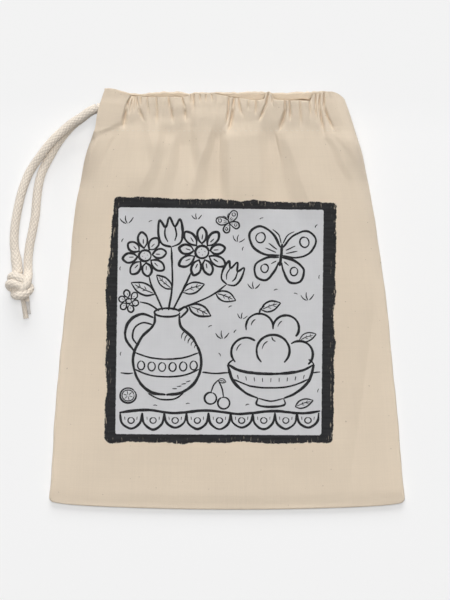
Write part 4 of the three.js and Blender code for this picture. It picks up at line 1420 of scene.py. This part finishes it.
def sprig(middle, turn, size):
    """Three short blades from one foot."""
    blades = (
        [(0, 0), (-0.6, 2.6), (-0.2, 5)], [(-0.6, 0), (-2.6, 1.6), (-3.8, 3.8)],
        [(0.8, 0), (2.6, 1.4), (4.2, 3.2)],
    )
    return [(FINE_LINE, placed(blade, middle, turn, size)) for blade in blades]


def jug():
    """A round jug with a handle, a lip and a band of beads round its belly."""
    lines = [
        (2.2, [(-45.5, 6), (-46.5, -2), (-55, -11), (-61, -25), (-58, -40), (-49, -49.5), (-38, -51.5)]),
        (2.2, [(-38, -51.5), (-27, -50), (-17, -42), (-13, -28), (-18, -13), (-27.5, -3), (-28.5, 5)]),
        (1.6, arc((-37, 6.5), 9, 3.0, 10, 365)),
        (1.8, [(-28.6, 7.5), (-24.6, 10.4), (-22.6, 8.6), (-27.6, 2.6)]),
        (2.2, [(-46.5, 3), (-55, 5.5), (-64, 0), (-66.5, -11), (-60.2, -21)]),
        (1.4, [(-47.5, -2), (-54, -0.6), (-59.6, -4), (-61.4, -11), (-58, -16.5)]),
        (1.3, [(-60.4, -21.5), (-50, -25), (-37, -26.4), (-24, -25), (-14, -21.5)]),
        (1.3, [(-60, -33.5), (-50, -37.4), (-37, -38.8), (-24, -37.4), (-14.6, -33.5)]),
        (1.3, [(-50.5, -50.5), (-44, -54), (-38, -55), (-31, -54), (-25.5, -50.5)]),
    ]
    for k in range(6):
        bead = (-55.4 + 7.4 * k, -30.4 - 1.5 * np.sin((k + 0.5) * np.pi / 6))
        lines.append((1.15, arc(bead, 2.5, 3.1, 80, 446)))
    for k in range(5):
        upper = [(-24.5 + 2.1 * k, -6.5 - 2.3 * k), (-26.5 + 2.2 * k, -9 - 2.1 * k)]
        lines.append((FINE_LINE, [*upper, (-27 + 2.3 * k, -12 - 1.7 * k)]))
    for k in range(4):
        stroke = [(-20.5 - 3.2 * k, -41.5 - 1.9 * k), (-24.0 - 3.2 * k, -42.6 - 1.5 * k)]
        lines.append((FINE_LINE, stroke))
    return lines


def bunch():
    """Stems, leaves and flower heads that stand in the jug."""
    stems = [
        (1.5, [(-40, 8), (-44, 17), (-48.6, 27), (-50, 33)]),
        (1.5, [(-36, 8), (-33.4, 26), (-34.0, 52.5)]),
        (1.6, [(-33, 8), (-26, 22), (-19.4, 36)]),
        (1.3, [(-42.5, 7.6), (-50, 12.5), (-56.5, 14)]),
        (1.4, [(-30.5, 8), (-18, 13), (-5, 19), (4.5, 26)]),
    ]
    heads = daisy((-52.6, 46.5), 15.5, 8, 8, 1.75) + daisy((-12.5, 49), 17.5, 9, 0, 1.9)
    heads += daisy((-64, 14.5), 7.6, 6, 14, 1.2)
    heads += tulip((-34.5, 62), 4, 1.05, 1.9) + tulip((8.5, 33), -24, 0.86, 1.6)
    leaves = [
        ((-45.5, 19.5), (-62.5, 27.5), 0.24, 1.5), ((-33.6, 23), (-44.6, 33), 0.24, 1.3),
        ((-26.5, 21), (-10.5, 26.5), 0.25, 1.4), ((-22, 11.4), (-6, 4), 0.25, 1.5),
        ((-3, 20.2), (11.5, 15), 0.26, 1.4),
    ]
    return stems + heads + [line for spot in leaves for line in leaf(*spot)]


def bowl():
    """A footed bowl of round fruit."""
    lines = [
        (2.2, [(5.5, -30), (14, -34.4), (36, -36.8), (58, -34.4), (66.5, -30)]),
        (1.7, [(5.5, -30), (8.4, -27.4), (10.4, -26.6)]),
        (1.7, [(66.5, -30), (64, -27.4), (62.4, -26.6)]),
        (2.2, [(5.5, -30), (9.6, -42), (19, -50.6), (27, -54)]),
        (2.2, [(66.5, -30), (62.6, -42), (53, -50.6), (45, -54)]),
        (1.8, [(27, -54), (26, -58.2), (36, -60), (46, -58.2), (45, -54)]),
        (1.2, [(27, -54), (36, -56), (45, -54)]),
        (1.3, [(9.4, -40.6), (22, -45.4), (36, -46.6), (50, -45.4), (62.6, -40.6)]),
        (1.8, arc((18.6, -21.5), 10.5, 10.2, 52, 224)),
        (1.8, arc((37.5, -20.5), 11.6, 11.3, -48, 226)),
        (1.8, arc((56, -23), 9.6, 9.4, -50, 128)),
        (1.8, arc((28, -3.5), 9.6, 9.2, -8, 196)),
        (1.8, arc((46.6, -4.5), 9.2, 9.0, -42, 186)),
        (1.3, [(27.6, 4.6), (28.6, 8.6), (31.6, 11)]),
        (1.2, [(36.6, -10.4), (37.4, -12.6), (39.4, -14)]),
    ]
    for x, y, reach in ((18.6, -21.5, 6.8), (37.5, -20.5, 7.8), (28, -3.5, 6.0), (46.6, -4.5, 5.8)):
        lines.append((FINE_LINE, arc((x, y), reach, reach, 118, 172)))
    for spread in range(-4, 5):
        rise = 0.14 * spread**2
        lines.append((1.0, [(36 + 5.9 * spread, -39.6 + rise), (36 + 5.7 * spread, -42.8 + rise)]))
    return lines + leaf((29, 8.4), (43, 13.4), 0.26, 1.3) + leaf((56, -13), (68, -8.6), 0.26, 1.2)


def butterfly(middle, turn, size, width):
    """A butterfly with open wings, the same on both sides."""
    wing = (
        (1.0, [(0.8, 5), (7, 14), (17, 18.5), (23.4, 13), (20, 3.5), (11, -0.8), (0.9, -0.4)]),
        (1.0, [(0.9, -1.6), (9.5, -3), (17, -8.6), (15.6, -17), (8.6, -18.6), (3.2, -11.5), (0.9, -5)]),
        (0.6, [(0.5, 8), (3.2, 14), (7.8, 17.4)]),
        (0.65, arc((15.5, 10.6), 3.2, 3.6, 60, 424, 20)),
        (0.65, arc((10.4, -10.6), 2.6, 2.9, 60, 424)),
        (0.55, [(3, 3.5), (9.6, 7.4)]),
        (0.55, [(3.4, 1.4), (11.5, 3.8)]),
        (0.55, [(2.6, -4.4), (6.4, -7)]),
    )
    lines = [(1.5 * width, placed([(0, -8), (0.3, 0), (0, 8)], middle, turn, size))]
    for side in (-1, 1):
        for share, points in wing:
            mirrored = [(side * x, y) for x, y in points]
            lines.append((share * width, placed(mirrored, middle, turn, size)))
    return lines


def table():
    """The table's edges, its scalloped cloth and what lies on it beside the jug and the bowl."""
    lines = [
        (1.3, [(-70, -36), (-65, -36.6), (-61, -36.2)]),
        (1.3, [(-12.4, -35.5), (-3, -36.4), (7, -35.8)]),
        (1.3, [(65.4, -36), (71, -35.4)]),
        (2.1, [(-71, -64), (-52, -62.2), (-32, -64.4), (-10, -62.6), (14, -65), (38, -63), (58, -64.6),
               (71, -63)]),
        (1.5, arc((-6.6, -54), 4.2, 4.1, 70, 432)),
        (1.5, arc((2.8, -57.4), 4.2, 4.1, 110, 472)),
        (1.1, [(-6.2, -49.8), (-4.4, -45), (-1.2, -41)]),
        (1.1, [(2.6, -53.2), (1.6, -47), (-1.2, -41)]),
        (1.4, arc((-64.6, -52), 5.6, 5.2, 40, 402)),
        (0.8, arc((-64.6, -52), 4.2, 3.9, 10, 372)),
    ]
    for k in range(6):
        lines.append((0.8, placed([(0, 0.6), (0, 3.5)], (-64.6, -52), 60 * k + 12)))
    pitch = 15.6
    for k in range(9):
        x = -70.4 + pitch * k
        drop = 10.6 + 0.8 * np.sin(2.2 * k)
        shoulder = -64.6 - 0.66 * drop
        scallop = [(x, -64), (x + 1.6, shoulder), (x + 0.5 * pitch, -64.8 - drop)]
        lines.append((1.8, [*scallop, (x + pitch - 1.6, shoulder), (x + pitch, -64)]))
        lines.append((1.0, arc((x + 0.5 * pitch, -69.6), 2.2, 2.0, 90, 456)))
        lines.append((0.8, [(x + 3.4, -66.8), (x + 3.6, -69.4)]))
        lines.append((0.8, [(x + pitch - 3.4, -66.8), (x + pitch - 3.6, -69.4)]))
    return lines + leaf((-1.2, -41), (4.6, -42.6), 0.28, 0.9) + leaf((53, -60), (66, -55.4), 0.24, 1.2)


def sprigs():
    """Small sprigs and flicks of the brush in the open ground."""
    lines = []
    for x, y, turn, size in (
        (-65, 69, 10, 1.2), (12.5, 56, -12, 1.1), (62, 15, 8, 1.2), (15.5, 2, -8, 0.9), (24, 23, 4, 1.1),
        (-16, 72, 6, 0.9), (2, -12, 6, 1.2),
    ):
        lines += sprig((x, y), turn, size)
    for x, y, turn in (
        (-50, 70, 20), (-3, 73, -30), (28, 72, 15), (16, 50, 70), (70, 30, 80), (52, 20, -20), (38, 22, 12),
        (-8, -4, 25), (-1, -22, -60), (10, -8, 50), (-70, 36, 80), (-69, 56, 60), (6, 10, 20), (67, 66, 50),
        (69, -50, 70), (-24, -58, 5), (-47, -59, -8), (18, -59, 10), (-70, -24, 75),
    ):
        lines.append((FINE_LINE, placed([(0, 0), (1.4, 0.5), (3.0, 0.2)], (x, y), turn)))
    return lines


def unsteady(along, number, cell, row, seed):
    """Smooth noise from -1 to 1 along a brushed line, another for each line's number."""
    return lattice(along, 0 * along + row * number, (cell, 3), seed)


def brushed(course, width, number):
    """One brushed line as rings of four points: its width wavers, and both ends are round."""
    spots = [(x + DRAWING_X, y + DRAWING_Y, 0.0) for x, y in course]
    path = curve_through(spots, 0.55)[:, :2]
    ahead = np.gradient(path, axis=0)
    ahead /= np.maximum(np.linalg.norm(ahead, axis=1, keepdims=True), 1e-9)
    side = np.stack([-ahead[:, 1], ahead[:, 0]], axis=1)
    along = walked(path)
    left = along[-1] - along
    press = 1 + 0.20 * unsteady(along, number, 7.5, 7.3, 31) + 0.10 * unsteady(along, number, 2.0, 5.1, 32)
    press = press * (0.72 + 0.28 * smooth(along / (2.4 * width)))
    press = press * (0.62 + 0.38 * smooth(left / (3.4 * width)))
    cap = np.maximum(rounded(np.minimum(along, left) / (0.42 * width)), BLUNT)
    half = 0.5 * width * press * cap
    drift = 0.10 * unsteady(along, number, 3.1, 3.7, 33)
    rings = []
    for share, lift in ((-1.0, -0.05), (-0.72, INK_LIFT), (0.72, INK_LIFT), (1.0, -0.05)):
        spot = path + (half * share + drift)[:, None] * side
        rings.append(np.column_stack([spot, surface_height(spot[:, 0], spot[:, 1]) + lift]))
    return np.stack(rings, axis=1)


def make_drawing():
    """The drawn lines as thin raised ink, in two pieces that follow the two halves of the cloth."""
    lines = jug() + bunch() + bowl() + butterfly((43, 47), -6, 1.0, 1.8) + table() + sprigs()
    lines += butterfly((6.5, 70.0), 24, 0.34, 1.1)
    parts = {-1: [], 1: []}
    for number, (width, course) in enumerate(lines):
        rings = brushed(course, width, number)
        middle = rings.mean(axis=1)
        side = np.where(middle[:, 0] < MOUTH_DRIFT * (middle[:, 1] + TOP_Y) / BAG_LENGTH, -1, 1)
        cuts = [0, *(np.flatnonzero(np.diff(side)) + 1), len(side)]
        for start, stop in zip(cuts[:-1], cuts[1:]):
            run = rings[start : min(stop + 1, len(side))]
            if len(run) < 2:
                continue
            count = len(run)
            faces = list(quads(count, 4, wrap=True))
            faces += [np.array([3, 2, 1, 0]), np.array([0, 1, 2, 3]) + 4 * (count - 1)]
            points = run.reshape(-1, 3)
            parts[side[start]].append((points, faces, points[:, :2] * MM))
    for side in (-1, 1):
        points, faces, place = joined(parts[side])
        made = mesh_object(f"drawn_lines_{side_name(side)}", points, faces, black_ink, place)
        follow_mouth(made)


make_drawing()

# Cut size of each half, width and length in metres
PANEL_CUT = (0.132, 0.270)
CASING_CUT = (0.132, 0.057)
BACK_CUT = (0.132, 0.335)
for word, (panel, casing, back) in cloth.items():
    side = 1 if word == "right" else -1
    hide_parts("front_panel", "print_ground", "print_border")
    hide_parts("front_casing", "right_casing_end" if side > 0 else "front_left_casing_end")
    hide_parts("back_panel", "back_casing")
    if side < 0:
        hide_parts("back_left_casing_end")
    for piece, cut_size in ((panel, PANEL_CUT), (casing, CASING_CUT), (back, BACK_CUT)):
        follow_mouth(piece)


# Camera, light and floor. The floor's reach and height are in millimetres, the other places in metres.
VIEW_HEIGHT = 0.4242
CAMERA_HEIGHT = 3.0
CAMERA_X = -0.0015
CAMERA_Y = 0.0007
SENSOR = 36
FLOOR_REACH = 6000.0
FLOOR_Z = -0.05
FLOOR_TONE = (0.90, 0.90, 0.90, 1.0)
BACKDROP_TONE = (0.887, 0.887, 0.887, 1.0)
SKY_TONE = (1.0, 1.0, 1.0, 1.0)
SKY_STRENGTH = 0.12
# Name, place, width and depth in metres, and power of each lamp
LAMPS = (
    ("overhead lamp", (-0.1, 0.8, 6.2), 3.2, 4.4, 264),
    ("low lamp", (-0.1, 6.7, 3.2), 5.0, 4.2, 404),
)


def make_stage():
    """A camera straight above, a pale floor, two soft lamps and an even sky."""
    camera = bpy.data.objects.new("camera", bpy.data.cameras.new("camera"))
    camera.data.sensor_width = SENSOR
    camera.data.lens = SENSOR * CAMERA_HEIGHT / VIEW_HEIGHT
    camera.location = (CAMERA_X, CAMERA_Y, CAMERA_HEIGHT)
    camera.data.clip_end = 20
    bpy.context.scene.collection.objects.link(camera)
    bpy.context.scene.camera = camera

    floor_material, tree, shader = new_material("pale floor", 0.9)
    shader.inputs["Base Color"].default_value = FLOOR_TONE
    seen = put(tree, "ShaderNodeLightPath").outputs["Is Camera Ray"]
    plain = put(tree, "ShaderNodeEmission", {"Color": BACKDROP_TONE, "Strength": 1.0}).outputs[0]
    up_the_bag = axes_of(tree, put(tree, "ShaderNodeTexCoord").outputs["Object"])[1]
    from_foot = ramp(tree, up_the_bag, -0.148, -0.118, 0.12, 0.45)
    from_mouth = ramp(tree, up_the_bag, 0.118, 0.142, 0.0, 0.4)
    share = calc(tree, "MULTIPLY", seen, calc(tree, "ADD", from_foot, from_mouth))
    both = put(tree, "ShaderNodeMixShader", {0: share, 1: shader.outputs[0], 2: plain}).outputs[0]
    tree.links.new(both, tree.nodes["Material Output"].inputs["Surface"])
    corners = FLOOR_REACH * np.array([[-1, -1, 0], [1, -1, 0], [1, 1, 0], [-1, 1, 0]]) + FLOOR_Z * UP
    floor = mesh_object("floor", corners, [np.array([0, 1, 2, 3])], floor_material)

    for name, place, wide, deep, power in LAMPS:
        lamp = bpy.data.objects.new(name, bpy.data.lights.new(name, "AREA"))
        lamp.data.shape = "RECTANGLE"
        lamp.data.size = wide
        lamp.data.size_y = deep
        lamp.data.energy = power
        lamp.location = place
        lamp.rotation_mode = "QUATERNION"
        lamp.rotation_quaternion = (-lamp.location).to_track_quat("-Z", "Y")
        bpy.context.scene.collection.objects.link(lamp)

    world = bpy.data.worlds.new("even sky")
    world.use_nodes = True
    tree = world.node_tree
    tree.nodes.clear()
    seen = put(tree, "ShaderNodeLightPath").outputs
    mirrored = calc(tree, "MAXIMUM", seen["Is Glossy Ray"], seen["Is Transmission Ray"])
    direct = calc(tree, "MAXIMUM", seen["Is Camera Ray"], mirrored)
    plain = put(tree, "ShaderNodeBackground", {"Color": BACKDROP_TONE, "Strength": 1.0}).outputs[0]
    light = put(tree, "ShaderNodeBackground", {"Color": SKY_TONE, "Strength": SKY_STRENGTH}).outputs[0]
    both = put(tree, "ShaderNodeMixShader", {0: direct, 1: light, 2: plain}).outputs[0]
    put(tree, "ShaderNodeOutputWorld", {"Surface": both})
    bpy.context.scene.world = world
    bpy.context.scene.view_settings.view_transform = "Standard"


make_stage()
